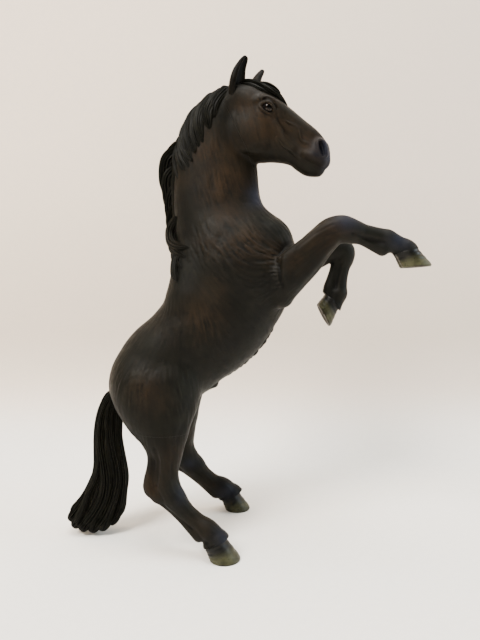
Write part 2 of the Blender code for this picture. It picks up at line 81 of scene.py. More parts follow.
def corner_mix(f, pick):
    """Straight-line mix of the eight corners round each point, f the share of the way across."""
    total = 0
    for dx, dy, dz in CORNERS:
        weight = ((f[:, 0] if dx else 1 - f[:, 0]) * (f[:, 1] if dy else 1 - f[:, 1])
                  * (f[:, 2] if dz else 1 - f[:, 2]))
        total = total + weight * pick(dx, dy, dz)
    return total


def unit(v):
    return v / np.maximum(np.linalg.norm(v, axis=-1, keepdims=True), 1e-9)


def path_frames(path, side):
    """Along, across and outward directions at each point of a path."""
    along = unit(np.gradient(path, axis=0))
    side = np.broadcast_to(np.asarray(side, float), path.shape)
    across = unit(side - (along * side).sum(1, keepdims=True) * along)
    return along, across, np.cross(along, across)


class Grid:
    """A box of sample points and the distances held at them; negative is inside."""

    def __init__(self, low, high, step):
        self.low = np.asarray(low, float)
        self.step = step
        self.shape = tuple((np.ceil((np.asarray(high) - self.low) / step)).astype(int) + 1)
        self.axes = [self.low[k] + step * np.arange(self.shape[k]) for k in range(3)]
        self.value = np.full(self.shape, FAR, np.float32)

    def window(self, low, high):
        a = np.clip(np.floor((np.asarray(low) - self.low) / self.step).astype(int), 0, np.array(self.shape) - 1)
        b = np.clip(np.ceil((np.asarray(high) - self.low) / self.step).astype(int) + 1, 1, self.shape)
        cut = tuple(slice(a[k], max(b[k], a[k] + 1)) for k in range(3))
        return cut, [self.axes[k][cut[k]].astype(np.float32) for k in range(3)]

    def misses(self, low, high):
        """Whether a box lies wholly outside the grid."""
        top = [axis[-1] for axis in self.axes]
        return bool(np.any(np.asarray(high) < self.low) or np.any(np.asarray(low) > top))

    def blank(self):
        """A grid on the same points, still empty."""
        copy = Grid.__new__(Grid)
        copy.low, copy.step, copy.shape, copy.axes = self.low, self.step, self.shape, self.axes
        copy.value = np.full(self.shape, FAR, np.float32)
        return copy

    def at(self, points):
        """Distances at points, straight-line interpolation between samples."""
        q = (points - self.low) / self.step
        i = np.clip(np.floor(q).astype(int), 0, np.array(self.shape) - 2)
        f = np.clip(q - i, 0, 1)
        return corner_mix(f, lambda dx, dy, dz: self.value[i[:, 0] + dx, i[:, 1] + dy, i[:, 2] + dz])

    def slope(self, points):
        """Outward direction of the distance at points."""
        h = self.step * 0.7
        parts = []
        for k in range(3):
            shift = np.zeros(3)
            shift[k] = h
            parts.append(self.at(points + shift) - self.at(points - shift))
        return unit(np.stack(parts, 1))


def melt(a, b, width):
    """The lower of two distances, rounded over a width where they are close."""
    if width <= 0:
        return np.minimum(a, b)
    near = np.maximum(width - np.abs(a - b), 0) / width
    return np.minimum(a, b) - near * near * (width / 4)


def swept(grid, rows, side=(0, 1, 0), reach=BLEND_REACH):
    """Distance to an ellipsoid carried along a path. Rows: x, y, z, half depth, half width.
    Each sample's distance is k0 (k0 - 1) / k1, with k0 the scaled length and k1 its slope."""
    rows = np.asarray(rows, float)
    small = min(rows[:, 3].min(), rows[:, 4].min())
    fine = curve(rows, step=min(0.6, max(0.18, small * 0.35)))
    along, across, out = path_frames(fine[:, :3], side)
    deep, wide = fine[:, 3], fine[:, 4]
    least = np.minimum(deep, wide)
    half = np.abs(out) * deep[:, None] + np.abs(across) * wide[:, None] + np.abs(along) * least[:, None] + reach
    low, high = (fine[:, :3] - half).min(0), (fine[:, :3] + half).max(0)
    if grid.misses(low, high):
        return None
    cut, axes = grid.window(low, high)
    value = np.full([len(a) for a in axes], FAR, np.float32)
    first = [cut[k].start for k in range(3)]
    for i in range(len(fine)):
        middle = fine[i, :3]
        sub, sub_axes = grid.window(middle - half[i], middle + half[i])
        local = tuple(slice(sub[k].start - first[k], sub[k].stop - first[k]) for k in range(3))
        px = (sub_axes[0] - middle[0])[:, None, None]
        py = (sub_axes[1] - middle[1])[None, :, None]
        pz = (sub_axes[2] - middle[2])[None, None, :]
        radii = np.array([deep[i], wide[i], least[i]], np.float32)
        q = [(px * v[0] + py * v[1] + pz * v[2]) / r for v, r in zip((out[i], across[i], along[i]), radii)]
        k0 = np.sqrt(q[0] ** 2 + q[1] ** 2 + q[2] ** 2)
        k1 = np.sqrt((q[0] / radii[0]) ** 2 + (q[1] / radii[1]) ** 2 + (q[2] / radii[2]) ** 2) + 1e-6
        d = np.where(k0 < 0.15, -radii.min(), k0 * (k0 - 1) / k1)
        view = value[local]
        np.minimum(view, d, out=view)
    return cut, value


def add(grid, part, width):
    if part:
        cut, value = part
        grid.value[cut] = melt(grid.value[cut], value, width)


def carve(grid, part, width):
    if part:
        cut, value = part
        grid.value[cut] = -melt(-grid.value[cut], value, width)


def skin(grid):
    """Surface nets: a point in each cell that the surface crosses, at the mean of the crossings
    on the cell's edges, and a quad round each grid edge that the surface crosses."""
    value = grid.value
    for k in range(3):
        ends = [slice(None)] * 3
        for ends[k] in (0, -1):
            value[tuple(ends)] = np.maximum(value[tuple(ends)], 0.3)
    inside = value < 0
    n = np.array(value.shape) - 1
    some, every = np.zeros(n, bool), np.ones(n, bool)
    for a, b, c in CORNERS:
        part = inside[a:a + n[0], b:b + n[1], c:c + n[2]]
        some |= part
        every &= part
    cells = np.argwhere(some & ~every)
    number = np.full(n, -1, np.int64)
    number[tuple(cells.T)] = np.arange(len(cells))
    total, count = np.zeros((len(cells), 3)), np.zeros(len(cells))
    for low in CORNERS:
        for k in range(3):
            if low[k]:
                continue
            start = cells + low
            stop = start.copy()
            stop[:, k] += 1
            one, two = value[tuple(start.T)], value[tuple(stop.T)]
            crossed = (one < 0) != (two < 0)
            place = np.tile(np.array(low, float), (len(cells), 1))
            place[:, k] += np.where(crossed, one / np.where(crossed, one - two, 1), 0)
            total += place * crossed[:, None]
            count += crossed
    points = grid.low + grid.step * (cells + total / count[:, None])
    quads = []
    for k in range(3):
        a, b = (k + 1) % 3, (k + 2) % 3
        here, there = [slice(1, -1)] * 3, [slice(1, -1)] * 3
        here[k], there[k] = slice(0, -1), slice(1, None)
        one, two = inside[tuple(here)], inside[tuple(there)]
        edges = np.argwhere(one != two)
        outward = one[tuple(edges.T)]
        base = edges.copy()
        base[:, a] += 1
        base[:, b] += 1
        ring = []
        for da, db in ((-1, -1), (0, -1), (0, 0), (-1, 0)):
            cell = base.copy()
            cell[:, a] += da
            cell[:, b] += db
            ring.append(number[tuple(cell.T)])
        ring = np.stack(ring, 1)
        ring[~outward] = ring[~outward][:, ::-1]
        quads.append(ring)
    return points, np.concatenate(quads)


def neighbour_mean(points, edges, values):
    total = np.zeros_like(values)
    count = np.zeros(len(points))
    np.add.at(count, edges.ravel(), 1)
    for a, b in ((0, 1), (1, 0)):
        np.add.at(total, edges[:, a], values[edges[:, b]])
    return total / (count[:, None] if values.ndim == 2 else count)


def edges_of(quads):
    pairs = np.concatenate([quads[:, [i, (i + 1) % 4]] for i in range(4)])
    return np.unique(np.sort(pairs, 1), axis=0)


def fair(grid, points, quads, passes=3):
    """Spread the points evenly: each moves to its neighbours' mean, then back along the slope
    to where the distance is zero."""
    edges = edges_of(quads)
    for _ in range(passes):
        points = points + 0.6 * (neighbour_mean(points, edges, points) - points)
        points = points - grid.at(points)[:, None] * grid.slope(points)
    return points


# ---------------------------------------------------------------- meshes

def put_in_scene(name, data):
    thing = bpy.data.objects.new(name, data)
    bpy.context.scene.collection.objects.link(thing)
    return thing


def tube_faces(rows, around):
    """Quads between rings of points, and the triangles that close both ends on two last points."""
    i = np.arange(rows - 1)[:, None] * around
    j = np.arange(around)
    k = (j + 1) % around
    quads = np.stack(np.broadcast_arrays(i + j, i + k, i + around + k, i + around + j), -1).reshape(-1, 4)
    last, end = (rows - 1) * around, rows * around
    caps = np.vstack([np.stack([np.full(around, end), k, j], 1),
                      np.stack([np.full(around, end + 1), last + j, last + k], 1)])
    return quads, caps


def to_mesh(name, points, faces):
    """A mesh object from drawn points and faces of one size."""
    mesh = bpy.data.meshes.new(name)
    size = faces.shape[1]
    mesh.vertices.add(len(points))
    mesh.vertices.foreach_set("co", (points * MM).astype(np.float32).ravel())
    mesh.loops.add(faces.size)
    mesh.loops.foreach_set("vertex_index", faces.astype(np.int32).ravel())
    mesh.polygons.add(len(faces))
    mesh.polygons.foreach_set("loop_start", np.arange(0, faces.size, size, dtype=np.int32))
    mesh.polygons.foreach_set("loop_total", np.full(len(faces), size, np.int32))
    mesh.update(calc_edges=True)
    mesh.validate()
    mesh.shade_smooth()
    return put_in_scene(name, mesh)


def drawn_points(mesh):
    """The mesh's points and outward directions, in drawn millimetres."""
    points = np.empty(len(mesh.vertices) * 3, np.float32)
    mesh.vertices.foreach_get("co", points)
    normals = np.empty(len(mesh.vertices) * 3, np.float32)
    mesh.vertex_normals.foreach_get("vector", normals)
    return points.reshape(-1, 3) / MM, normals.reshape(-1, 3)


def give(mesh, name, values):
    """A value at each point of a mesh, for its material to read."""
    layer = mesh.attributes.new(name, "FLOAT", "POINT")
    layer.data.foreach_set("value", np.asarray(values, np.float32))


def solid(name, corners, faces):
    """A cutting block from its corners in drawn millimetres."""
    shape = bmesh.new()
    verts = [shape.verts.new(corner * MM) for corner in corners]
    for face in faces:
        shape.faces.new([verts[i] for i in face])
    bmesh.ops.recalc_face_normals(shape, faces=shape.faces)
    mesh = bpy.data.meshes.new(name)
    shape.to_mesh(mesh)
    shape.free()
    return put_in_scene(name, mesh)


def prism(name, outline, low, high, axis):
    """A cutting block: an outline in drawn millimetres, carried from low to high."""
    outline = np.asarray(outline, float)
    rings = [np.insert(outline, axis, level, axis=1) for level in (low, high)]
    n = len(outline)
    sides = [(i, (i + 1) % n, n + (i + 1) % n, n + i) for i in range(n)]
    return solid(name, np.vstack(rings), [range(n), range(n, 2 * n), *sides])


def cut_with(thing, blocks, operation):
    """Cut a piece with blocks, keep the result as its mesh, and drop the blocks."""
    for block in blocks:
        step = thing.modifiers.new(block.name, "BOOLEAN")
        step.operation = operation
        step.object = block
        step.solver = "MANIFOLD"
    graph = bpy.context.evaluated_depsgraph_get()
    graph.update()
    mesh = bpy.data.meshes.new_from_object(thing.evaluated_get(graph))
    thing.modifiers.clear()
    old = thing.data
    thing.data = mesh
    bpy.data.meshes.remove(old)
    mesh.shade_smooth()
    mesh.set_sharp_from_angle(angle=math.radians(50))
    for block in blocks:
        bpy.data.objects.remove(block)
    return thing


# ---------------------------------------------------------------- the horse's form

# Rows: x, y, z, half depth in the side view, half width
TRUNK = [
    ([(-32.6, 0, 41.8, 6.2, 6.5), (-30.0, 0, 45.9, 10.3, 10), (-24.8, 0, 50.4, 13.4, 12.2),
      (-15.7, 0, 58.0, 14.3, 12.9), (-6.95, 0, 66.9, 16.1, 13.1), (-1.9, 0, 77.0, 16.3, 12.3),
      (0.4, 0, 86.5, 14.4, 10.6)], 0.0),
    ([(2.5, 0, 76, 11.0, 9.2), (7.4, 0, 84.2, 9.8, 9.4), (6.4, 0, 89.8, 9.0, 8.0)], 5.0),
    ([(-4.2, 0, 82, 15.0, 9.6), (-6.2, 0, 94, 13.5, 8.4), (-7.1, 0, 105, 12.9, 7.0), (-7.1, 0, 114, 12.1, 6.2),
      (-6.4, -0.3, 122.6, 9.6, 5.5), (-3.4, -0.8, 129.4, 6.4, 4.8)], 6.0),
    ([(-15.5, 0, 48.2, 2.6, 2.9), (-10.4, 0, 46.3, 1.9, 2.2), (-7.9, 0, 46.2, 1.2, 1.5)], 1.0),
]
# Muscles that show on both flanks, mirrored
FLANKS = [
    ([(-6.5, 6.4, 88.5, 5.6, 3.2), (-2.5, 8.0, 84, 7.0, 4.2), (5.0, 8.6, 79, 6.0, 4.4)], 4.5),
    ([(9.6, 4.4, 90.6, 5.0, 3.6), (10.2, 5.6, 84, 5.0, 4.0)], 3.0),
    ([(-13.4, 3.6, 84.0, 4.8, 4.2), (-14.6, 5.0, 73.0, 6.6, 6.2)], 4.0),
    ([(-31.0, 5.4, 50.5, 5.6, 5.2), (-30.4, 7.0, 43.5, 6.0, 5.4)], 3.5),
    ([(-19.0, 9.0, 48.0, 5.6, 4.4), (-17.0, 9.4, 41.0, 3.2, 4.0)], 3.5),
]
# Limbs: x, y out from the middle, z, half depth, half width; then the blend with what is above
HIND_LIMB = [
    ([(-24.3, 7.0, 46.0, 11.8, 7.7), (-23.8, 8.8, 40.0, 10.6, 7.4), (-22.2, 10.2, 35.0, 7.8, 6.5),
      (-21.6, 11.2, 31.6, 6.0, 5.6), (-20.6, 12.2, 28.0, 4.1, 4.7), (-20.8, 13.2, 24.4, 3.5, 3.8),
      (-21.0, 13.8, 21.3, 3.7, 3.5), (-20.0, 14.3, 18.6, 3.5, 3.3), (-18.4, 14.8, 16.3, 3.0, 2.9)], 4.0),
    ([(-26.4, 11.4, 32.4, 2.0, 2.6), (-25.2, 12.6, 29.8, 1.5, 2.0), (-24.9, 13.2, 27.0, 1.4, 1.7),
      (-25.1, 13.7, 24.5, 1.4, 1.6), (-25.4, 14.1, 21.5, 1.75, 1.8), (-25.3, 14.4, 19.0, 2.0, 1.9),
      (-23.0, 14.8, 16.9, 1.9, 1.8)], 1.1),
    ([(-23.0, 14.8, 16.9, 1.9, 1.8), (-19.9, 15.0, 14.5, 1.7, 1.6), (-16.3, 15.5, 11.0, 1.5, 1.5),
      (-13.4, 16.0, 7.9, 1.5, 1.6), (-11.5, 16.4, 6.2, 1.7, 1.9)], 0.8),
    ([(-18.2, 14.9, 16.0, 3.0, 2.8), (-15.2, 15.3, 12.6, 2.5, 2.4), (-11.9, 15.8, 9.9, 2.4, 2.4),
      (-9.0, 16.4, 7.9, 2.9, 2.9), (-7.0, 16.8, 6.2, 2.8, 3.0), (-5.7, 17.2, 4.4, 3.4, 3.7),
      (-5.0, 17.4, 3.0, 3.4, 3.7)], 1.0),
    ([(-8.8, 17.3, 4.0, 1.5, 2.4), (-7.6, 17.4, 3.0, 1.5, 2.6)], 0.8),
]
ELBOW = ([(12.8, 9.2, 77.0, 4.6, 4.2), (12.0, 8.0, 73.0, 3.5, 3.4)], 2.2)
NEAR_FORE_LIMB = [
    ([(7.4, 6.8, 76.8, 6.2, 4.6), (13.0, 9.2, 78.9, 5.8, 5.1), (18.7, 10.6, 83.7, 5.1, 4.5),
      (22.9, 11.4, 88.4, 4.4, 3.9), (26.4, 12.0, 91.4, 4.1, 3.5), (29.0, 12.1, 91.9, 3.9, 3.6),
      (31.8, 12.2, 91.2, 3.2, 3.2)], 1.6),
    ELBOW,
    ([(13.0, 12.6, 82.5, 2.8, 1.9), (18.4, 13.6, 87.2, 2.3, 1.7), (23.8, 14.2, 91.4, 1.7, 1.3),
      (27.6, 14.0, 93.0, 1.2, 1.0)], 1.0),
    ([(14.0, 12.2, 77.5, 3.0, 2.0), (18.6, 13.2, 81.6, 2.4, 1.6), (23.0, 13.8, 86.0, 1.7, 1.2),
      (26.6, 14.0, 89.2, 1.0, 0.9)], 1.0),
    ([(31.4, 12.2, 91.6, 2.7, 2.6), (36.0, 12.4, 90.6, 2.35, 2.3), (40.6, 12.6, 89.4, 2.5, 2.4)], 1.2),
    ([(29.6, 12.2, 89.8, 1.5, 1.9), (34.0, 12.3, 88.8, 1.35, 1.5), (37.2, 12.5, 87.3, 1.5, 1.6),
      (39.9, 12.7, 86.2, 1.9, 2.0)], 0.8),
    ([(41.9, 12.7, 88.5, 2.85, 2.8), (44.4, 12.7, 87.2, 2.7, 2.8), (46.6, 12.7, 85.7, 3.2, 3.5),
      (47.6, 12.7, 84.0, 3.2, 3.6)], 1.2),
    ([(44.8, 12.7, 84.4, 1.5, 2.4), (46.4, 12.7, 83.2, 1.5, 2.6)], 0.8),
]
FAR_FORE_LIMB = [
    ([(7.4, 6.8, 76.8, 6.2, 4.6), (12.4, 9.2, 79.4, 5.8, 5.1), (18.8, 10.6, 83.2, 5.0, 4.3),
      (25.6, 11.6, 86.6, 4.1, 3.6), (31.2, 12.0, 88.4, 3.6, 3.4), (34.3, 12.1, 88.0, 3.4, 3.4),
      (34.4, 12.1, 85.4, 2.8, 2.9)], 1.6),
    ELBOW,
    ([(12.5, 12.3, 82.5, 2.8, 1.9), (19.0, 13.2, 86.2, 2.4, 1.6), (26.0, 13.8, 89.0, 1.6, 1.2),
      (30.6, 14.0, 90.0, 1.1, 1.0)], 1.0),
    ([(34.3, 12.1, 86.4, 2.9, 2.7), (33.6, 12.1, 82.5, 2.45, 2.4), (32.95, 12.2, 78.5, 2.4, 2.3),
      (32.7, 12.3, 75.0, 2.6, 2.5)], 1.2),
    ([(31.6, 12.1, 85.0, 1.6, 1.9), (31.0, 12.1, 82.0, 1.5, 1.6), (30.1, 12.2, 78.8, 1.6, 1.6),
      (29.3, 12.3, 75.6, 1.9, 2.0), (28.8, 12.3, 73.8, 1.6, 1.9)], 0.8),
    ([(32.2, 12.3, 73.6, 2.95, 2.9), (31.2, 12.3, 71.4, 2.8, 2.9), (30.0, 12.3, 69.4, 3.2, 3.5),
      (29.0, 12.3, 68.2, 3.2, 3.6)], 1.2),
    ([(27.6, 12.3, 70.9, 1.5, 2.4), (27.2, 12.3, 69.6, 1.5, 2.6)], 0.8),
]
LEFT_HIND_AHEAD = 3.3     # how far the left hind hoof stands before the right one
LEFT_STOUT = 1.18

# The head's own directions: its poll, its turn to the right and its slope down
POLL = np.array([-1.0, -0.8, 131.0])
TURN, SLOPE = math.radians(15.0), math.radians(36.4)
NOSE = np.array([math.cos(SLOPE) * math.cos(TURN), -math.cos(SLOPE) * math.sin(TURN), -math.sin(SLOPE)])
LEFT = np.array([math.sin(TURN), math.cos(TURN), 0.0])
BROW = np.cross(NOSE, LEFT)
HEAD_AXES = np.stack([NOSE, LEFT, BROW])

# Rows: along the nose, to the left, up from the nose line, half depth, half width
SKULL = [(0, 0, 0.5, 5.0, 4.6), (4.0, 0, 1.5, 5.8, 5.5), (9.5, 0, 1.5, 6.2, 5.7), (15, 0, 2.1, 5.1, 4.7),
         (20.5, 0, 2.45, 4.2, 3.8), (25.6, 0, 2.2, 3.9, 3.4), (29.0, 0, 1.2, 3.8, 3.5)]
JAW = [(5.0, 0, -5.3, 7.2, 4.9), (11.5, 0, -4.8, 7.4, 5.2), (17.5, 0, -3.6, 5.2, 4.1), (23, 0, -2.8, 3.6, 3.2),
       (28.5, 0, -2.6, 3.2, 3.0)]
LIPS = [(29.6, 0, -0.2, 2.9, 3.4), (31.7, 0, -0.1, 2.5, 3.0)]
CHIN = [(27.4, 0, -3.7, 2.2, 2.5), (30.4, 0, -3.6, 2.2, 2.4), (32.2, 0, -2.9, 1.9, 2.2)]


def on_head(rows):
    """Rows given in the head's own directions, brought to their places."""
    rows = np.array(rows, float)
    rows[:, :3] = POLL + rows[:, :3] @ HEAD_AXES
    return rows


def out_to(rows, side, ahead=0.0, stout=1.0):
    """A limb's rows on one side; the lower end goes ahead, and is thicker by stout."""
    rows = np.array(rows, float)
    low = np.clip((46 - rows[:, 2]) / 30, 0, 1) ** 1.6 if ahead else np.zeros(len(rows))
    rows[:, 0] += ahead * low - 0.2 * ahead * np.exp(-((rows[:, 2] - 20) / 10) ** 2)
    rows[:, 2] -= 0.12 * ahead * np.exp(-((rows[:, 2] - 13) / 6) ** 2)
    rows[:, 1] *= side
    rows[:, 3:] *= 1 + (stout - 1) * low[:, None]
    return rows


def ball(grid, centre, radii, axes=np.eye(3)):
    """Distance to an ellipsoid with its radii along the given axes."""
    centre = np.asarray(centre, float)
    reach = np.abs(axes * np.asarray(radii)[:, None]).sum(0) + 3.0
    cut, near = grid.window(centre - reach, centre + reach)
    p = [(near[k] - centre[k]).reshape([-1 if j == k else 1 for j in range(3)]) for k in range(3)]
    q = [(p[0] * v[0] + p[1] * v[1] + p[2] * v[2]) / r for v, r in zip(axes, radii)]
    k0 = np.sqrt(q[0] ** 2 + q[1] ** 2 + q[2] ** 2)
    k1 = np.sqrt((q[0] / radii[0]) ** 2 + (q[1] / radii[1]) ** 2 + (q[2] / radii[2]) ** 2) + 1e-6
    return cut, np.where(k0 < 0.15, -min(radii), k0 * (k0 - 1) / k1).astype(np.float32)


def tilted(axes, about, angle):
    """Axes turned about one of them by an angle in degrees."""
    turn = np.array(Matrix.Rotation(math.radians(angle), 3, Vector(axes[about])))
    return axes @ turn.T


EYE = (10.9, 4.25, 3.05)
EYE_ROUND = 1.95


def head_form(grid):
    """The head, from the skull out to lips, nostrils, lids and veins."""
    add(grid, swept(grid, on_head(SKULL), LEFT), 0)
    add(grid, swept(grid, on_head(JAW), LEFT), 3.0)
    add(grid, swept(grid, on_head(LIPS), LEFT), 1.6)
    add(grid, swept(grid, on_head(CHIN), LEFT), 1.4)
    for side in (-1, 1):
        def line(rows, k, cut=False):
            placed = [(a, side * b, c, r, r) for a, b, c, r in rows]
            (carve if cut else add)(grid, swept(grid, on_head(placed), LEFT), k)

        def lump(place, radii, k, tilt=0.0, cut=False):
            centre = POLL + np.array([place[0], side * place[1], place[2]]) @ HEAD_AXES
            part = ball(grid, centre, radii, tilted(HEAD_AXES, 1, tilt))
            (carve if cut else add)(grid, part, k)

        # cheek plate, temple, ear root
        lump((10.2, 3.9, -4.9), (6.6, 2.2, 6.2), 1.4)
        lump((3.6, 3.3, 2.6), (3.6, 1.9, 2.4), 1.8)
        lump((-0.5, 3.0, 1.3), (3.2, 2.2, 3.0), 1.6)
        # crest of the face and the edge of the nose bone
        line([(15.2, 4.3, 0.9, 0.8), (19.2, 3.7, -0.6, 0.8), (23.2, 3.1, -1.8, 0.5)], k=1.6)
        line([(12.5, 3.3, 5.2, 1.1), (18, 2.7, 4.9, 0.9), (25, 2.0, 4.3, 0.8)], k=1.6)
        lump((18.4, 4.7, 2.4), (3.4, 0.7, 1.4), 1.8, tilt=6, cut=True)
        lump((22.0, 4.3, -0.2), (3.2, 0.8, 1.2), 1.5, tilt=12, cut=True)
        # brow, socket and the rim of the socket
        line([(6.8, 5.0, 3.0, 0.6), (8.4, 5.0, 4.6, 0.8), (10.8, 4.9, 5.3, 0.85), (13.2, 4.4, 4.7, 0.75),
              (15.0, 4.1, 3.4, 0.5)], k=1.4)
        lump((11.0, 6.5, 3.1), (2.5, 1.2, 1.4), 0.8, tilt=10, cut=True)
        # lids round the eye's opening
        top = [(8.7, 5.35, 2.3, 0.34), (9.4, 5.8, 3.5, 0.42), (10.8, 6.0, 4.25, 0.46), (12.3, 5.7, 3.95, 0.42),
               (13.4, 5.0, 3.0, 0.34), (14.2, 4.6, 2.2, 0.25)]
        low = [(8.7, 5.35, 2.3, 0.30), (9.6, 5.85, 1.75, 0.32), (11.1, 6.0, 1.6, 0.32), (12.5, 5.6, 1.85, 0.30),
               (13.4, 4.95, 2.15, 0.28), (14.2, 4.6, 2.2, 0.22)]
        line(top, k=0.45)
        line(low, k=0.45)
        lump((11.2, 6.9, 2.9), (1.8, 2.1, 1.05), 0.2, tilt=8, cut=True)
        line([(8.2, 5.3, 4.0, 0.22), (9.6, 5.7, 5.0, 0.26), (11.4, 5.7, 5.2, 0.26), (13.4, 5.0, 4.2, 0.22)],
             k=0.4, cut=True)
        line([(9.4, 5.2, 0.3, 0.35), (11.6, 5.3, 0.1, 0.35), (13.6, 4.9, 0.7, 0.3)], k=0.8)
        # nostril: a rim round a deep slot
        ring = [(28.5, 3.1, 3.9), (29.7, 3.3, 4.0), (31.3, 3.25, 2.9), (32.5, 2.85, 1.5), (32.2, 2.95, 0.75),
                (30.9, 3.3, 1.1), (29.4, 3.45, 2.0), (28.5, 3.35, 3.0), (28.5, 3.1, 3.9)]
        lump((30.0, 2.3, 2.4), (2.8, 1.6, 2.0), 1.0, tilt=36)
        line([(*p, 0.5) for p in ring], k=0.35)
        lump((30.5, 3.9, 2.4), (2.3, 1.8, 0.8), 0.3, tilt=40, cut=True)
        # mouth
        line([(34.6, 0.2, -1.3, 0.30), (33.6, 2.0, -1.7, 0.30), (31.2, 3.25, -2.3, 0.30), (28.8, 3.6, -2.7, 0.28),
              (27.0, 3.8, -2.6, 0.22)], k=0.45, cut=True)
        line([(27.4, 3.3, -1.5, 0.7), (30.0, 3.1, -1.0, 0.8), (32.6, 2.2, -0.5, 0.8)], k=1.0)
        # hollow under the cheek plate and before the chin
        line([(17.4, 4.6, -5.6, 0.6), (14.8, 5.4, -8.6, 0.4)], k=1.6, cut=True)
        # veins
        line([(16.4, 4.3, 2.8, 0.18), (18.0, 4.0, 3.0, 0.22), (20.3, 3.55, 3.3, 0.24), (21.8, 3.45, 3.1, 0.24),
              (22.9, 3.6, 2.0, 0.24), (24.2, 3.5, 1.1, 0.22), (26.0, 3.4, 1.2, 0.2), (27.4, 3.2, 1.2, 0.16)], k=0.35)
        line([(18.0, 4.3, -2.2, 0.2), (21.0, 3.9, -3.0, 0.23), (24.5, 3.4, -3.2, 0.22), (27.0, 3.0, -3.6, 0.16)],
             k=0.35)


# The belly's middle line, from the girth to the sheath
BELLY = [(9.6, 64.0), (7.6, 60.6), (5.0, 57.2), (1.8, 54.0), (-1.6, 51.4), (-4.8, 49.6)]


def belly_tufts(grid):
    """Short tufts of longer hair along the belly's middle line, each leaning down and back."""
    line = curve(BELLY, 1.25)
    way = unit(np.gradient(line, axis=0))
    for n, ((x, z), (dx, dz)) in enumerate(zip(line, way)):
        out = np.array([-dz, dx]) * (1 if dx + dz < 0 else -1)
        long = 1.5 + 0.5 * math.sin(2.3 * n)
        tip = np.array([x, z]) + out * 0.85 + np.array([dx, dz]) * long
        y = 0.9 * math.sin(1.7 * n)
        rows = [(x - out[0] * 0.9, y, z - out[1] * 0.9, 0.95, 1.4),
                ((x + tip[0]) / 2, y - 0.2, (z + tip[1]) / 2, 0.72, 1.0), (tip[0], y - 0.3, tip[1], 0.34, 0.42)]
        add(grid, swept(grid, rows), 0.3)


TRUNK_REACH = 8.0
THIGH_BLEND, SHOULDER_BLEND, HEAD_BLEND = 4.0, 1.6, 1.3


def horse_form(grid):
    """The whole animal's distance, in the part of space that the grid covers."""
    for rows, k in TRUNK:
        add(grid, swept(grid, rows, reach=TRUNK_REACH), k)
    belly_tufts(grid)
    for side in (-1, 1):
        for rows, k in FLANKS:
            add(grid, swept(grid, out_to(rows, side)), k)
    for side, ahead, stout in ((-1, 0.0, 1.0), (1, LEFT_HIND_AHEAD, LEFT_STOUT)):
        limb = grid.blank()
        for rows, k in HIND_LIMB:
            add(limb, swept(limb, out_to(rows, side, ahead, stout)), k)
        grid.value = melt(grid.value, limb.value, THIGH_BLEND)
    for side, limb_rows in ((-1, NEAR_FORE_LIMB), (1, FAR_FORE_LIMB)):
        limb = grid.blank()
        for rows, k in limb_rows:
            add(limb, swept(limb, out_to(rows, side)), k)
        grid.value = melt(grid.value, limb.value, SHOULDER_BLEND)
    head = grid.blank()
    head_form(head)
    grid.value = melt(grid.value, head.value, HEAD_BLEND)
    return grid


# ---------------------------------------------------------------- fur and creases

LATTICE = 48
SPECKLE = np.random.default_rng(58).random((LATTICE,) * 3).astype(np.float32)


def speckle(points, cell):
    """Random values on a repeating lattice of cells, straight-line interpolation between."""
    q = points / cell
    i = np.floor(q).astype(int)
    f = (q - i).astype(np.float32)
    f = f * f * (3 - 2 * f)
    return corner_mix(f, lambda *d: SPECKLE[tuple((i[:, k] + d[k]) % LATTICE for k in range(3))]) - 0.5


# How the coat lies in the side view: x, z, direction, reach
LIE = [(-12, 122, 0.2, -1, 9), (-12, 110, 0.15, -1, 9), (-4, 116, 0.3, -1, 9), (0, 106, 0.1, -1, 8),
       (-12, 98, 0.35, -1, 9), (-2, 97, 0.5, -1, 8), (6, 97, 0.6, -1, 7), (-14, 86, 0.6, -1, 8),
       (-6, 84, 0.75, -0.75, 8), (-15, 76, 0.2, -1, 8), (-5, 74, 0.9, -0.4, 7), (-20, 68, -0.2, -1, 8),
       (-10, 66, 0.2, -1, 7), (0, 64, 0.6, -0.6, 7), (-26, 60, -0.5, -0.9, 8), (-16, 58, -0.1, -1, 7),
       (-8, 56, 0.5, -0.9, 7), (-33, 50, -0.5, -1, 8), (-24, 48, 0.0, -1, 8), (-16, 46, 0.3, -1, 7),
       (-30, 40, 0.3, -1, 8), (-22, 38, 0.1, -1, 8), (-22, 28, 0.0, -1, 8), (-23, 19, 0.4, -0.9, 6),
       (-15, 12, 0.7, -0.7, 8), (-7, 6, 0.6, -0.8, 6), (20, 86, 0.75, 0.65, 7), (28, 91, 0.9, 0.1, 6),
       (37, 89, 1.0, -0.3, 8), (33, 80, -0.1, -1.0, 6), (8, 127, 0.3, -0.95, 7), (18, 121, 0.8, -0.6, 8),
       (4, 118, 0.2, -1, 6)]
# Where the coat is carved deep: x, z, reach, height of the strokes
SHAG = [(7.5, 84.0, 4.5, 0.11), (4, 90, 7.0, 0.10), (-2, 84, 8.0, 0.10), (6, 77, 6.0, 0.09), (-8, 88, 8.0, 0.075),
        (-9, 62, 9.0, 0.065), (-18, 62, 9.0, 0.06), (-30, 48, 8.0, 0.07), (-20, 50, 9.0, 0.05), (-18, 42, 7.0, 0.045),
        (-6, 104, 9.0, 0.045), (-8, 118, 9.0, 0.03), (12, 95, 5.0, 0.06)]
ARM_MIDDLE = np.array([18.5, 82.5])


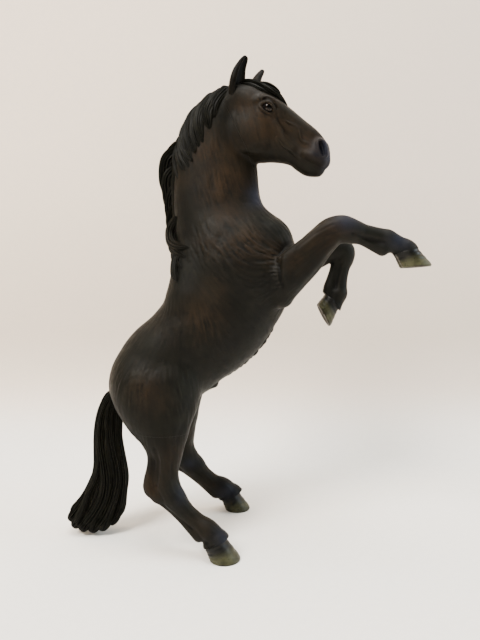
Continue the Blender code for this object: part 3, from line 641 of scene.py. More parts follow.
def lie_of_coat(points, normals):
    """Direction of the hair at points: the arrows near by, and away from the top of the foreleg
    around its groove, laid flat on the skin."""
    x, z = points[:, 0], points[:, 2]
    flow = np.zeros_like(points)
    for px, pz, dx, dz, reach in LIE:
        weight = np.exp(-((x - px) ** 2 + (z - pz) ** 2) / reach**2)
        size = math.hypot(dx, dz)
        flow[:, 0] += weight * dx / size
        flow[:, 2] += weight * dz / size
    away = np.stack([x, z], 1) - ARM_MIDDLE
    far = np.linalg.norm(away, axis=1)
    weight = 4.0 * np.exp(-(far / 13.0) ** 4) * (x < 15)
    flow[:, 0] -= weight * away[:, 0] / np.maximum(far, 1e-6)
    flow[:, 2] -= weight * away[:, 1] / np.maximum(far, 1e-6)
    flow -= (flow * normals).sum(1, keepdims=True) * normals
    return unit(flow)


FUR_SPREAD = 0.064        # usual size of the smeared speckle
STROKE_WIDE, STROKE_LONG, STROKE_STEPS = 0.42, 3.2, 12


def fur(points, normals):
    """Random speckle smeared along the lie of the coat, which leaves fine strokes."""
    flow = lie_of_coat(points, normals)
    total = 0
    for t in np.linspace(-0.5, 0.5, STROKE_STEPS):
        total = total + speckle(points + flow * (t * STROKE_LONG) + 60, STROKE_WIDE)
    return total / STROKE_STEPS / FUR_SPREAD


def shag(points):
    """Height of the fur's strokes at points."""
    x, z = points[:, 0], points[:, 2]
    tall = np.full(len(points), 0.018)
    for px, pz, reach, height in SHAG:
        tall = np.maximum(tall, height * np.exp(-((x - px) ** 2 + (z - pz) ** 2) / reach**2))
    groove, _ = line_gap(x, z, FOLDS[0][1])
    return np.where(x > 9, tall * (0.2 + 0.8 * np.clip((groove - 0.6) / 1.2, 0, 1) * (x < 16)), tall)


# Folds and grooves drawn on one flank in the side view: side (-1 right, 1 left, 0 both), line
# of x, z points, half width, depth (a negative depth is a ridge)
FOLDS = [
    (0, [(16.5, 89.8), (13.0, 87.6), (11.4, 85.1), (10.9, 81.4), (11.3, 78.0), (12.2, 75.5)], 0.55, 0.42),
    (-1, [(0.5, 101.9), (2.6, 102.3), (5.2, 101.6)], 0.35, 0.10),
    (-1, [(1.0, 100.5), (3.4, 100.6), (5.6, 99.8)], 0.35, 0.08),
    (-1, [(-5.6, 104.0), (-3.8, 104.5)], 0.3, 0.05),
    (0, [(-23.4, 30.5), (-22.7, 27.0), (-22.9, 23.5), (-23.2, 20.5)], 0.6, 0.34),
    (0, [(-18.4, 31.0), (-18.6, 27.0), (-19.0, 22.5)], 0.6, 0.22),
    (0, [(-13.8, 44.0), (-15.6, 38.0), (-17.6, 33.0)], 0.8, 0.20),
    (0, [(-21.0, 36.5), (-20.0, 30.5), (-19.9, 25.0)], 0.9, 0.15),
    (0, [(-21.6, 14.9), (-17.4, 11.4), (-13.4, 8.6)], 0.5, 0.28),
    (-1, [(31.2, 90.3), (35.4, 89.0), (39.8, 87.9)], 0.5, 0.30),
    (1, [(32.8, 84.0), (31.9, 80.0), (31.0, 76.0)], 0.5, 0.30),
    (-1, [(15.6, 86.4), (20.4, 90.2), (25.6, 92.8)], 0.5, 0.16),
    (-1, [(14.6, 79.6), (19.6, 84.2), (24.6, 88.6)], 0.5, 0.20),
]


def line_gap(x, z, line):
    """Distance in the side view from points to a line, and how far along it they are."""
    line = np.asarray(line, float)
    best, place, before = np.full(len(x), 1e9), np.zeros(len(x)), 0.0
    for a, b in zip(line[:-1], line[1:]):
        way = b - a
        t = np.clip(((x - a[0]) * way[0] + (z - a[1]) * way[1]) / (way @ way), 0, 1)
        gap = np.hypot(x - a[0] - t * way[0], z - a[1] - t * way[1])
        place = np.where(gap < best, before + t * math.hypot(*way), place)
        best = np.minimum(best, gap)
        before += math.hypot(*way)
    return best, place


def pleats(points):
    """Short ridges that leave the groove of the foreleg at right angles: height
    0.12 sin(2 pi s / 1.0) over distance s along it, strongest 1.7 mm from it."""
    x, y, z = points.T
    gap, place = line_gap(x, z, FOLDS[0][1])
    wave = np.sin(2 * math.pi * place / 1.0 + 0.5 * gap + 2.5 * speckle(points + 9, 2.5))
    behind = np.clip((ARM_MIDDLE[0] - x) / 3 - 1.2, 0, 1) * np.clip(np.abs(y) * 0.5 - 2, 0, 1)
    return 0.12 * wave * np.exp(-((gap - 1.7) / 1.5) ** 2) * behind * (x < line_edge(z) + 0.2)


def line_edge(z):
    """The groove's x at height z."""
    groove = np.array(FOLDS[0][1])[::-1]
    return np.interp(z, groove[:, 1], groove[:, 0])


def folds(points, normals):
    """Depth of the folds at points."""
    x, y, z = points.T
    depth = np.zeros(len(points))
    flat = np.clip(np.abs(normals[:, 1]) * 1.6 - 0.3, 0, 1)
    for side, line, wide, deep in FOLDS:
        gap, _ = line_gap(x, z, line)
        near = np.clip(y * side * 0.5, 0, 1) if side else np.clip(np.abs(y) * 0.4 - 0.6, 0, 1)
        depth += deep * np.exp(-(gap / wide) ** 2) * near * flat
    return depth


def hollow(points, normals, edges):
    """Bend of the skin at each point, per millimetre: above 0 in grooves, below 0 on ridges."""
    ends = points[edges[:, 1]] - points[edges[:, 0]]
    square = (ends**2).sum(1)
    bend = ((ends * normals[edges[:, 0]]).sum(1) - (ends * normals[edges[:, 1]]).sum(1)) / np.maximum(square, 1e-4)
    total, count = np.zeros(len(points)), np.zeros(len(points))
    for k in (0, 1):
        np.add.at(total, edges[:, k], bend)
        np.add.at(count, edges[:, k], 1)
    bent = total / np.maximum(count, 1)
    for _ in range(2):
        bent = 0.5 * bent + 0.5 * neighbour_mean(points, edges, bent)
    return bent


# ---------------------------------------------------------------- skins

def sculpt(name, low, high, step):
    """One region of the horse as a skin with its fur and folds."""
    grid = horse_form(Grid(low, high, step))
    points, quads = skin(grid)
    points = fair(grid, points, quads)
    normals = grid.slope(points)
    lift = fur(points, normals) * shag(points) + pleats(points) - folds(points, normals)
    points = points + normals * lift[:, None]
    return to_mesh(name, points, quads), grid


SLIT = 0.01               # half the gap that is left between painted mouldings that meet
HEAD_SEAM = np.array([-0.4, 120.5])
HEAD_LEAN = math.radians(25.5)
SHOULDER_SEAM = (11.0, 11.6)
SHOULDER_TURN = math.radians(41.0)
THIGH_SEAM = 34.0


def head_block(offset):
    along = np.array([math.cos(HEAD_LEAN), math.sin(HEAD_LEAN)])
    up = np.array([-along[1], along[0]])
    base = HEAD_SEAM + along * offset
    low, high = base - up * 16.5, base + up * 22
    return prism("head block", [low, (60, low[1]), (60, 200), (high[0], 200), high], -40, 40, 1)


def shoulder_block(side, offset):
    turn = side * SHOULDER_TURN
    ahead = np.array([math.cos(turn), math.sin(turn)])
    across = np.array([-ahead[1], ahead[0]]) * side
    base = np.array([SHOULDER_SEAM[0], side * SHOULDER_SEAM[1]]) + ahead * offset
    clear = side * 0.3
    to_middle = (clear - base[1]) / across[1]
    inner = base + across * to_middle
    outer = base + across * 22 * (1 if to_middle < 0 else -1)
    return prism("shoulder block", [inner, (75, clear), (75, outer[1]), outer], 58, 102, 2)


def thigh_block(side, offset):
    clear, far = side * 0.3, side * 45
    return prism("thigh block", [(-55, clear), (30, clear), (30, far), (-55, far)], -10, THIGH_SEAM + offset, 2)


# ---------------------------------------------------------------- hooves

# Sole centre x, z, out from the middle; toe direction; leg direction; heights of the wall at heel and toe
HOOVES = {
    "right_hind_hoof": ((-4.3, -17.4, 0.0), (1, 0, 0), (0, 0, 1), 3.3, 6.7),
    "left_hind_hoof": ((-1.0, 17.4, 0.0), (1, 0, 0), (0, 0, 1), 3.3, 6.7),
    "right_fore_hoof": ((49.2, -12.7, 81.2), (0.995, 0, 0.06), (-0.06, 0, 0.995), 3.8, 5.6),
    "left_fore_hoof": ((27.4, 12.7, 67.1), (0.47, 0, -0.88), (0.88, 0, 0.47), 3.8, 5.8),
}
HOOF_LONG, HOOF_WIDE, HOOF_LEAN, CORONET_SHARE = 9.8, 8.4, 0.62, 0.80


def hoof_axes(toe, up):
    toe, up = unit(np.array(toe, float)), np.array(up, float)
    up = unit(up - toe * (up @ toe))
    return np.stack([toe, np.cross(up, toe), up])


def coronet_plane(name):
    """A point of the hoof's upper edge, its heel-to-toe direction, and its up direction."""
    sole, toe, up, heel_tall, toe_tall = HOOVES[name]
    axes = hoof_axes(toe, up)
    rise = (toe_tall - heel_tall) / (HOOF_LONG * CORONET_SHARE)
    middle = (heel_tall + toe_tall) / 2
    centre = np.array(sole) + axes[2] * middle - axes[0] * HOOF_LEAN * middle
    along = unit(axes[0] + axes[2] * rise)
    return centre, along, axes[1], np.cross(along, axes[1])


BLOCK_FACES = ((0, 3, 2, 1), (4, 5, 6, 7), (0, 1, 5, 4), (1, 2, 6, 5), (2, 3, 7, 6), (3, 0, 4, 7))


def leg_end_block(name):
    """Everything on the ground's side of a hoof's upper edge."""
    centre, along, left, up = coronet_plane(name)
    corners = []
    for high in (-9.0, -0.25):
        for a, b in ((-8, -7), (8, -7), (8, 7), (-8, 7)):
            corners.append(centre + along * a + left * b + up * high)
    return solid("leg end block", corners, BLOCK_FACES)


def make_hoof(name):
    """A hoof's wall as a surface of angle a and height share s: radii shrink with s to the
    coronet, the whole leans back with height, rings ripple the wall; then a domed top and a
    sole with its frog."""
    sole, toe, up, heel_tall, toe_tall = HOOVES[name]
    axes = hoof_axes(toe, up)
    count = 96
    a = np.linspace(0, 2 * math.pi, count, endpoint=False)
    wall = np.linspace(0, 1, 40)
    rows = []
    heel = np.clip(-np.cos(a), 0, 1)
    for s in wall:
        tall = s * ((heel_tall + toe_tall) / 2 + np.cos(a) * (toe_tall - heel_tall) / 2)
        size = 1 - (1 - CORONET_SHARE) * s**1.1
        ripple = 0.05 * np.sin(s * 26 + 1.4 * np.cos(a)) * min(1, s * 6) * min(1, (1 - s) * 5)
        band = 0.16 * math.exp(-((s - 0.93) / 0.07) ** 2)
        tuck = -0.25 * (1 - min(1, s * 9)) ** 2
        long = HOOF_LONG / 2 * size + ripple + band + tuck
        wide = HOOF_WIDE / 2 * size + ripple + band + tuck
        cleft = 0.55 * np.exp(-((a - math.pi) / 0.30) ** 2) * (1 - 0.5 * s)
        x = long * np.cos(a) * (1 - 0.16 * heel**2) + cleft - HOOF_LEAN * tall
        x -= 0.45 * max(0.0, 1 - s / 0.16) ** 2 * np.clip(np.cos(a), 0, 1)
        y = wide * np.sin(a) * (1 - 0.10 * heel)
        rows.append(np.stack([x, y, tall], 1))
    top = rows[-1]
    middle_top = top.mean(0) + [0, 0, 0.1]
    for share in (0.85, 0.5, 0.02):
        rows.append(middle_top + (top - middle_top) * share + [0, 0, 0.25 * (1 - share)])
    bottom = rows[0]
    middle_low = bottom.mean(0)
    under = []
    for share in (0.02, 0.35, 0.6, 0.78, 0.86, 0.97):
        ring = middle_low + (bottom - middle_low) * share
        dish = 0.0 if share > 0.9 else 0.55 * (1 - (share / 0.9) ** 4)
        frog = 0.45 * np.exp(-((a - math.pi) / 0.42) ** 2) * (share < 0.9)
        ring[:, 2] = dish * (1 - frog)
        under.append(ring)
    rows = np.array(under + rows)
    points = rows.reshape(-1, 3) @ axes + np.array(sole)
    height = np.concatenate([np.full(len(under), -0.2), wall, np.full(3, 1.05)])
    points = np.vstack([points, points[:count].mean(0), points[-count:].mean(0)])
    thing = to_mesh_mixed(name + "_skin", points, *tube_faces(len(rows), count))
    give(thing.data, "height", np.concatenate([np.repeat(height, count), [-0.2, 1.05]]))
    return thing


def to_mesh_mixed(name, points, quads, triangles):
    mesh = bpy.data.meshes.new(name)
    mesh.from_pydata((points * MM).tolist(), [], quads.tolist() + triangles.tolist())
    mesh.validate()
    mesh.shade_smooth()
    mesh.set_sharp_from_angle(angle=math.radians(55))
    return put_in_scene(name, mesh)


# ---------------------------------------------------------------- eyes

def make_eye(name, side):
    """A ball as a function of two angles about its outward axis, with a swelling cornea; the
    distance from the axis is kept for the iris and the pupil."""
    outward = unit(np.array([0.34, side * 1.0, 0.10]) @ HEAD_AXES)
    centre = POLL + np.array([EYE[0], side * EYE[1], EYE[2]]) @ HEAD_AXES
    up = unit(BROW - outward * (BROW @ outward))
    right = np.cross(outward, up)
    ring, rings = 64, 48
    polar = np.linspace(0, math.pi, rings + 2)[1:-1]
    around = np.linspace(0, 2 * math.pi, ring, endpoint=False)
    radius = EYE_ROUND + 0.10 * np.exp(-(polar / 0.55) ** 4)
    shell = (np.cos(polar)[:, None, None] * outward
             + np.sin(polar)[:, None, None] * (np.cos(around)[None, :, None] * right
                                               + np.sin(around)[None, :, None] * up))
    points = (centre + shell * radius[:, None, None]).reshape(-1, 3)
    points = np.vstack([points, centre + outward * radius[0], centre - outward * EYE_ROUND])
    quads, caps = tube_faces(rings, ring)
    thing = to_mesh_mixed(name + "_ball", points, quads[:, ::-1], caps[:, ::-1])
    give(thing.data, "from_axis", np.concatenate([np.repeat(polar, ring), [0, math.pi]]))
    return thing


# ---------------------------------------------------------------- ears

EARS = {
    "right_ear": ([(-1.3, -3.0, 130.4, 1.3, 1.9), (-1.3, -4.3, 132.9, 1.7, 2.6), (-0.7, -4.8, 136.2, 1.75, 2.85),
                   (-0.35, -5.0, 137.9, 1.6, 2.5), (0.4, -5.3, 140.0, 1.2, 1.85), (1.2, -5.5, 141.5, 0.95, 1.35),
                   (1.5, -5.6, 142.0, 0.8, 1.1)], (0.80, -0.60, 0.05)),
    "left_ear": ([(2.2, 2.3, 131.2, 1.7, 2.3), (2.8, 2.7, 133.6, 1.7, 2.5), (3.9, 3.1, 136.4, 1.6, 2.4),
                  (4.7, 3.4, 138.6, 1.35, 2.0), (5.7, 3.8, 140.8, 1.0, 1.45), (6.5, 4.1, 142.0, 0.85, 1.1),
                  (6.75, 4.2, 142.5, 0.7, 0.9)], (0.75, 0.66, 0.05)),
}


def make_ear(name):
    """A leaf-shaped shell swept from root to tip, scooped out in front."""
    rows, face = EARS[name]
    rows = np.array(rows)
    along = unit(rows[-1, :3] - rows[0, :3])
    face = unit(np.array(face) - along * (np.array(face) @ along))
    wide = np.cross(along, face)
    grid = Grid(rows[:, :3].min(0) - 3.6, rows[:, :3].max(0) + 2.0, EAR_STEP)
    add(grid, swept(grid, rows, wide), 0)
    scoop = curve(rows, 0.5)[4:]
    scoop = scoop[:int(len(scoop) * 0.97)]
    scoop[:, :3] += face * (scoop[:, 3:4] * 0.95)
    fade = np.clip((np.arange(len(scoop)) + 1) / 5, 0, 1)[:, None]
    scoop[:, 3:] *= np.array([0.95, 0.66]) * (0.4 + 0.6 * fade)
    carve(grid, swept(grid, scoop, wide), 0.35)
    points, quads = skin(grid)
    points = fair(grid, points, quads)
    normals = grid.slope(points)
    middle = curve(rows, 0.25)
    nearest = np.argmin(((points[:, None, :] - middle[None, :, :3]) ** 2).sum(2), axis=1)
    # inside: share of painted shade in the ear's forward-facing hollow
    inside = np.clip(((points - middle[nearest, :3]) * face).sum(1) * -1.2 + 0.55, 0, 1)
    inside *= np.clip((normals * face).sum(1) * 2.0, 0, 1)
    hair = speckle(points * [3.0, 3.0, 0.5] + 20, 1.4)
    points = points + normals * (hair * 0.05)[:, None]
    thing = to_mesh(name + "_skin", points, quads)
    give(thing.data, "inside", inside)
    return thing


# ---------------------------------------------------------------- hair

def lock(rows, outward, strands=5, depth=0.16, twist=0.6, phase=0.0, blunt=0.35, around=22):
    """A lock of hair: an oval carried along a path, its outline r(a) = 1 + depth |cos| ridges
    that turn with the way along, narrowing to a tip. Rows: x, y, z, half thickness, half width."""
    fine = curve(rows, 0.45)
    count = len(fine)
    t = np.linspace(0, 1, count)
    _, across, out = path_frames(fine[:, :3], np.cross(unit(np.gradient(fine[:, :3], axis=0)), outward))
    round_end = np.sqrt(1 - (1 - np.clip((1 - t) / blunt, 0, 1)) ** 2)
    taper = np.clip(t / 0.10, 0, 1) ** 0.6 * round_end
    taper = np.maximum(taper, 0.02)
    a = np.linspace(0, 2 * math.pi, around, endpoint=False)
    ridge = 1 - depth * (0.5 + 0.5 * np.cos(strands * a[None, :] + phase + twist * 2 * math.pi * t[:, None]))
    ridge *= 1 - 0.5 * depth * (0.5 + 0.5 * np.cos((2 * strands + 1) * a[None, :] - phase * 2))
    thick = (fine[:, 3] * taper)[:, None] * ridge * np.sin(a)[None, :]
    wide = (fine[:, 4] * taper)[:, None] * ridge * np.cos(a)[None, :]
    points = fine[:, None, :3] + thick[..., None] * out[:, None] + wide[..., None] * across[:, None]
    points = points.reshape(-1, 3)
    points = np.vstack([points, fine[0, :3], fine[-1, :3]])
    # groove: how deep each point lies between strands; the hair paint puts painted shade there
    groove = np.concatenate([(1 - ridge).ravel() / max(depth, 1e-6), [0, 0]])
    return points, *tube_faces(count, around), groove


def bundle(name, locks):
    """Several locks as one piece, faces turned outward."""
    points, quads, caps, grooves = [], [], [], []
    base = 0
    for p, q, c, g in locks:
        a, b, d = p[q[:, 0]], p[q[:, 1]], p[q[:, 2]]
        signed = (np.cross(b - a, d - a) * (a - p.mean(0))).sum()
        if signed < 0:
            q, c = q[:, ::-1], c[:, ::-1]
        points.append(p)
        quads.append(q + base)
        caps.append(c + base)
        grooves.append(g)
        base += len(p)
    thing = to_mesh_mixed(name + "_locks", np.vstack(points), np.vstack(quads), np.vstack(caps))
    give(thing.data, "groove", np.concatenate(grooves))
    return thing


def rest_on(grid, x, z, side, proud):
    """Rows' y where a line along y first meets the skin from one side, moved out by proud."""
    x, z, proud = np.broadcast_arrays(np.asarray(x, float), np.asarray(z, float), np.asarray(proud, float))
    steps = np.linspace(20, 0, 161)
    y = np.full(len(x), 0.0)
    found = np.zeros(len(x), bool)
    for s in steps:
        d = grid.at(np.stack([x, np.full(len(x), side * s), z], 1))
        hit = (d < 0) & ~found
        y[hit] = s
        found |= hit
    return side * (y + proud)


def laid(grid, line, side, thick, wide):
    """A lock's rows over the skin, from x, z and how far proud it stands there."""
    line = np.array(line, float)
    y = rest_on(grid, line[:, 0], line[:, 1], side, line[:, 2])
    sizes = np.tile([thick, wide], (len(line), 1))
    return np.column_stack([line[:, 0], y, line[:, 1], sizes])


# Ridge of the mane, from the poll to the withers
CREST = [(-1.6, -0.7, 133.8, 1.6, 2.4), (-5.4, -0.6, 132.3, 2.2, 3.0), (-9.4, -0.4, 129.2, 2.4, 3.2),
         (-12.6, -0.2, 125.0, 2.4, 3.4), (-15.2, 0.2, 120.0, 2.5, 3.4), (-17.4, 0.9, 114.6, 2.7, 3.4),
         (-18.4, 1.3, 108.0, 2.6, 3.2), (-18.4, 1.3, 101.0, 2.4, 3.0), (-18.0, 1.0, 94.0, 2.4, 2.8),
         (-17.2, 0.6, 88.0, 2.3, 2.6), (-16.6, 0.3, 82.0, 2.0, 2.2), (-16.4, 0.0, 78.0, 1.2, 1.4)]
# Locks that hang over the right side: x, z, how far proud
NEAR_LOCKS = [
    [(-3.4, 134.6, 0.1), (-6.0, 131.8, 0.4), (-7.8, 128.4, 0.4), (-8.0, 124.6, 0.1)],
    [(-4.4, 134.4, 0.1), (-7.6, 131.2, 0.4), (-9.4, 127.2, 0.4), (-8.9, 122.6, 0.1)],
    [(-5.6, 134.2, 0.1), (-9.0, 130.6, 0.4), (-10.6, 126.2, 0.4), (-9.4, 121.0, 0.1)],
    [(-7.2, 133.4, 0.1), (-10.6, 129.6, 0.4), (-11.8, 124.8, 0.4), (-10.6, 119.6, 0.1)],
    [(-8.6, 132.6, 0.1), (-12.0, 128.4, 0.5), (-12.8, 123.2, 0.4), (-11.0, 117.8, 0.1)],
    [(-10.2, 131.6, 0.1), (-13.4, 127.0, 0.5), (-13.8, 121.8, 0.4), (-12.4, 116.4, 0.1)],
    [(-11.6, 130.4, 0.1), (-14.6, 125.6, 0.5), (-14.8, 120.2, 0.4), (-12.6, 114.6, 0.1)],
    [(-13.0, 129.0, 0.1), (-15.8, 124.0, 0.5), (-15.8, 118.6, 0.4), (-13.8, 113.4, 0.1)],
    [(-14.2, 127.2, 0.1), (-16.8, 122.2, 0.5), (-16.5, 116.8, 0.4), (-13.4, 111.8, 0.1)],
    [(-15.4, 124.8, 0.1), (-17.6, 120.0, 0.5), (-17.2, 115.2, 0.4), (-15.0, 111.0, 0.1)],
    [(-16.6, 122.4, 0.1), (-18.6, 117.8, 0.4), (-18.2, 113.2, 0.4), (-16.4, 109.0, 0.1)],
    [(-17.8, 120.0, 0.1), (-19.6, 115.8, 0.3), (-19.2, 111.6, 0.3), (-17.8, 107.8, 0.1)],
]
# Locks thrown over to the left side: free paths in x, y, z
FAR_LOCKS = [
    [(-4.0, 0.4, 134.6), (-7.6, 4.0, 131.0), (-8.6, 6.6, 125.0), (-7.2, 7.4, 118.0)],
    [(-7.0, 0.4, 133.0), (-10.2, 4.2, 129.0), (-11.2, 7.0, 122.4), (-9.6, 8.0, 114.0)],
    [(-10.2, 0.4, 130.8), (-13.4, 4.4, 126.2), (-14.4, 7.2, 119.0), (-12.0, 8.4, 110.0)],
    [(-13.0, 0.4, 127.6), (-16.0, 4.2, 122.8), (-17.0, 7.0, 115.6), (-14.4, 8.8, 106.0)],
    [(-15.2, 0.4, 124.0), (-18.4, 3.6, 119.2), (-19.6, 6.6, 111.6), (-16.6, 9.0, 102.0)],
    [(-16.8, 0.6, 120.6), (-20.8, 2.8, 117.0), (-22.2, 6.0, 108.8), (-18.4, 9.0, 98.0)],
    [(-17.8, 0.8, 117.8), (-21.8, 1.8, 115.4), (-23.2, 3.8, 109.6), (-22.0, 6.4, 103.0)],
    [(-18.4, 1.0, 113.0), (-21.8, 2.2, 109.6), (-22.3, 4.6, 104.4), (-19.0, 8.6, 95.0)],
    [(-18.8, 1.2, 107.6), (-21.2, 2.8, 103.4), (-21.2, 5.6, 97.4), (-17.6, 9.2, 89.0)],
    [(-18.6, 1.2, 102.0), (-20.8, 2.8, 97.6), (-19.8, 6.0, 91.4), (-16.0, 9.8, 84.0)],
    [(-18.2, 1.0, 96.6), (-19.6, 2.8, 92.0), (-18.4, 6.2, 86.0), (-15.2, 10.2, 79.4)],
    [(-17.4, 0.8, 91.0), (-18.6, 2.6, 86.6), (-17.6, 6.0, 81.0), (-15.0, 9.6, 75.6)],
]
# The swirl above the withers, on the right side
SWIRL = [
    [(-19.0, 1.2, 97.0, 0.9, 1.4), (-21.6, 0.2, 93.4, 0.9, 1.5), (-21.0, -2.6, 89.6, 0.9, 1.6),
     (-18.2, -6.0, 87.6, 0.9, 1.5), (-14.8, -8.6, 87.2, 0.6, 1.0)],
    [(-20.4, 0.6, 93.0, 0.8, 1.2), (-20.6, -2.2, 88.2, 0.8, 1.4), (-18.2, -5.4, 85.6, 0.8, 1.4),
     (-15.8, -7.4, 84.4, 0.5, 0.8)],
    [(-19.6, 0.4, 90.6, 0.8, 1.2), (-19.9, -2.0, 85.6, 0.8, 1.3), (-18.1, -4.4, 82.6, 0.7, 1.1),
     (-16.8, -5.8, 81.2, 0.4, 0.7)],
    [(-18.6, 0.4, 86.6, 0.9, 1.3), (-19.4, -0.8, 82.2, 0.9, 1.3), (-19.4, -1.6, 79.4, 0.8, 1.1),
     (-18.2, -2.4, 77.2, 0.45, 0.8)],
    [(-18.2, 0.8, 85.0, 0.9, 1.3), (-18.6, 1.0, 80.6, 0.9, 1.3), (-18.2, 1.6, 77.4, 0.5, 0.9)],
]
# Forelock, in the head's own directions
FORELOCK = [
    [(-2.6, 0.2, 4.6, 0.9, 1.6), (0.6, 0.4, 7.4, 1.0, 1.8), (4.2, 0.2, 8.3, 1.0, 1.8), (8.4, -0.2, 8.7, 0.9, 1.5),
     (11.8, -0.6, 7.9, 0.8, 1.2), (14.6, -0.7, 6.9, 0.5, 0.7)],
    [(-2.4, -1.0, 4.6, 0.8, 1.5), (0.6, -1.6, 6.8, 0.9, 1.6), (4.4, -2.0, 7.6, 0.9, 1.6), (8.0, -2.4, 7.6, 0.8, 1.3),
     (10.6, -1.8, 7.7, 0.7, 1.0), (13.2, -1.6, 7.2, 0.4, 0.6)],
    [(-2.0, 1.4, 4.6, 0.8, 1.4), (1.4, 2.0, 6.8, 0.9, 1.5), (5.2, 2.0, 7.6, 0.9, 1.4), (9.0, 1.4, 7.9, 0.7, 1.1),
     (12.2, 1.0, 7.5, 0.4, 0.6)],
    [(-1.6, -2.0, 4.2, 0.7, 1.2), (1.6, -2.8, 5.8, 0.8, 1.3), (4.8, -3.3, 6.3, 0.7, 1.1), (7.4, -3.0, 6.6, 0.6, 0.9),
     (9.4, -2.2, 7.1, 0.4, 0.6)],
    [(2.6, -0.6, 8.2, 0.6, 0.9), (6.2, -0.9, 9.3, 0.7, 1.0), (8.8, -0.4, 9.2, 0.7, 0.9), (10.8, -0.9, 8.5, 0.4, 0.6)],
    [(5.0, -1.4, 8.2, 0.5, 0.8), (8.2, -1.6, 8.5, 0.6, 0.9), (10.6, -1.2, 8.2, 0.6, 0.8), (12.2, -1.7, 7.6, 0.35, 0.5)],
]
# The tail's middle line, with the spread of its locks; then each lock's place and tip
TAIL_LINE = [(-36.4, 0, 44.6, 2.2, 2.2), (-39.4, 0, 40.6, 3.2, 2.9), (-40.4, 0, 36.0, 4.0, 3.4),
             (-40.8, 0, 30.0, 4.3, 3.8), (-40.4, 0, 24.0, 4.8, 4.1), (-40.1, 0, 18.5, 5.6, 4.4),
             (-41.2, 0, 13.4, 6.4, 4.6), (-43.4, 0, 9.0, 6.9, 4.5), (-46.4, 0, 5.4, 6.2, 4.3),
             (-49.2, 0, 3.9, 4.0, 3.4)]
# Each lock: angle about the line, share of the spread, x, y, z of its rounded tip
TAIL_LOCKS = [(0.0, 0.74, (-38.6, -0.4, 4.6)), (0.5, 0.72, (-40.0, -2.2, 2.8)), (1.0, 0.74, (-42.6, -2.8, 1.3)),
              (1.5, 0.76, (-45.6, -3.0, 1.0)), (2.0, 0.76, (-48.8, -2.8, 1.3)), (2.5, 0.76, (-51.4, -2.0, 2.0)),
              (3.0, 0.74, (-53.0, -0.8, 3.6)), (3.4, 0.74, (-52.6, 0.8, 5.0)), (3.9, 0.76, (-51.4, 2.0, 2.6)),
              (4.4, 0.76, (-48.4, 2.8, 1.4)), (5.0, 0.76, (-45.0, 2.8, 1.2)), (5.6, 0.74, (-41.8, 2.0, 1.6)),
              (1.25, 0.84, (-44.0, -3.2, 2.0)), (2.25, 0.84, (-50.2, -2.6, 3.0)), (0.25, 0.8, (-39.0, -1.4, 7.6)),
              (1.75, 0.86, (-47.4, -3.4, 3.4))]


def make_tail():
    """Locks round a middle line: lock n stands at angle a + turn * t + sway about it, at its
    share of the spread, then bends to its own rounded tip."""
    rng = np.random.default_rng(7)
    fine = curve(TAIL_LINE, 0.8)
    _, across, out = path_frames(fine[:, :3], (0, 1, 0))
    t = np.linspace(0, 1, len(fine))
    core = np.column_stack([fine[:, :3], fine[:, 3] * 0.86, fine[:, 4] * 0.80])
    locks = [lock(core[::4], (-1, 0, 0), strands=26, depth=0.10, blunt=0.08, around=120)]
    for n, (angle, share, tip) in enumerate(TAIL_LOCKS):
        a = angle + 0.25 * np.sin(5.0 * t + 1.7 * n)
        place = (fine[:, :3] + out * (np.cos(a) * fine[:, 3] * share)[:, None]
                 - across * (np.sin(a) * fine[:, 4] * share)[:, None])
        keep = place[t <= 0.80][::5]
        last = keep[-1]
        bend = last + (np.array(tip) - last) * 0.55 + [0.5, 0, -0.4]
        path = np.vstack([keep, bend, tip])
        size = np.interp(np.linspace(0, 1, len(path)), [0, 0.2, 0.6, 0.85, 1], [0.8, 1.2, 1.6, 1.9, 2.0])
        rows = np.column_stack([path, size * 0.95, size * 1.15])
        outward = unit(place[len(place) // 2] - fine[len(fine) // 2, :3])
        locks.append(lock(rows, outward, strands=13, depth=0.26, twist=0.5 * rng.uniform(-1, 1),
                          phase=rng.uniform(0, 6), blunt=0.07, around=52))
    return bundle("tail", locks)


def make_mane(grid):
    rng = np.random.default_rng(21)
    locks = [lock(CREST, (-0.9, 0, 0.4), strands=21, depth=0.12, blunt=0.06, twist=0.4, around=96)]
    for line in NEAR_LOCKS:
        rows = laid(grid, line, -1, thick=0.62, wide=1.5)
        rows[:, 3:] *= rng.uniform(0.85, 1.15)
        rows[:, :3] += np.linspace(0, 1, len(rows))[:, None] * [rng.uniform(-0.8, 0.8), 0, rng.uniform(-1, 1)]
        locks.append(lock(rows, (-0.3, -1, 0.1), strands=11, depth=0.30, twist=rng.uniform(-0.3, 0.3),
                          phase=rng.uniform(0, 6), blunt=0.42, around=48))
    for line in FAR_LOCKS:
        path = np.array(line, float)
        on = rest_on(grid, path[:, 0], path[:, 2], 1, 0.6)
        path[:, 1] = np.maximum(path[:, 1], np.where(on > 0.7, on, 0))
        rows = np.column_stack([path, np.full(len(path), 1.15), np.full(len(path), 2.3)])
        locks.append(lock(rows, (-0.5, 1, 0.1), strands=13, depth=0.26, twist=rng.uniform(-0.3, 0.3),
                          phase=rng.uniform(0, 6), blunt=0.5, around=56))
    for rows in SWIRL:
        rows = np.array(rows, float)
        on = rest_on(grid, rows[:, 0], rows[:, 2], -1, 0.3)
        rows[:, 1] = np.where(on < -0.4, np.minimum(rows[:, 1], on), rows[:, 1])
        locks.append(lock(rows, (-0.6, -1, 0.1), strands=9, depth=0.3, twist=0.3,
                          phase=rng.uniform(0, 6), blunt=0.4, around=40))
    return bundle("mane", locks)


def make_forelock():
    rng = np.random.default_rng(5)
    locks = []
    for rows in FORELOCK:
        locks.append(lock(on_head(rows), BROW, strands=8, depth=0.3, twist=rng.uniform(-0.5, 0.5),
                          phase=rng.uniform(0, 6), blunt=0.4, around=36))
    return bundle("forelock", locks)


# ---------------------------------------------------------------- paint

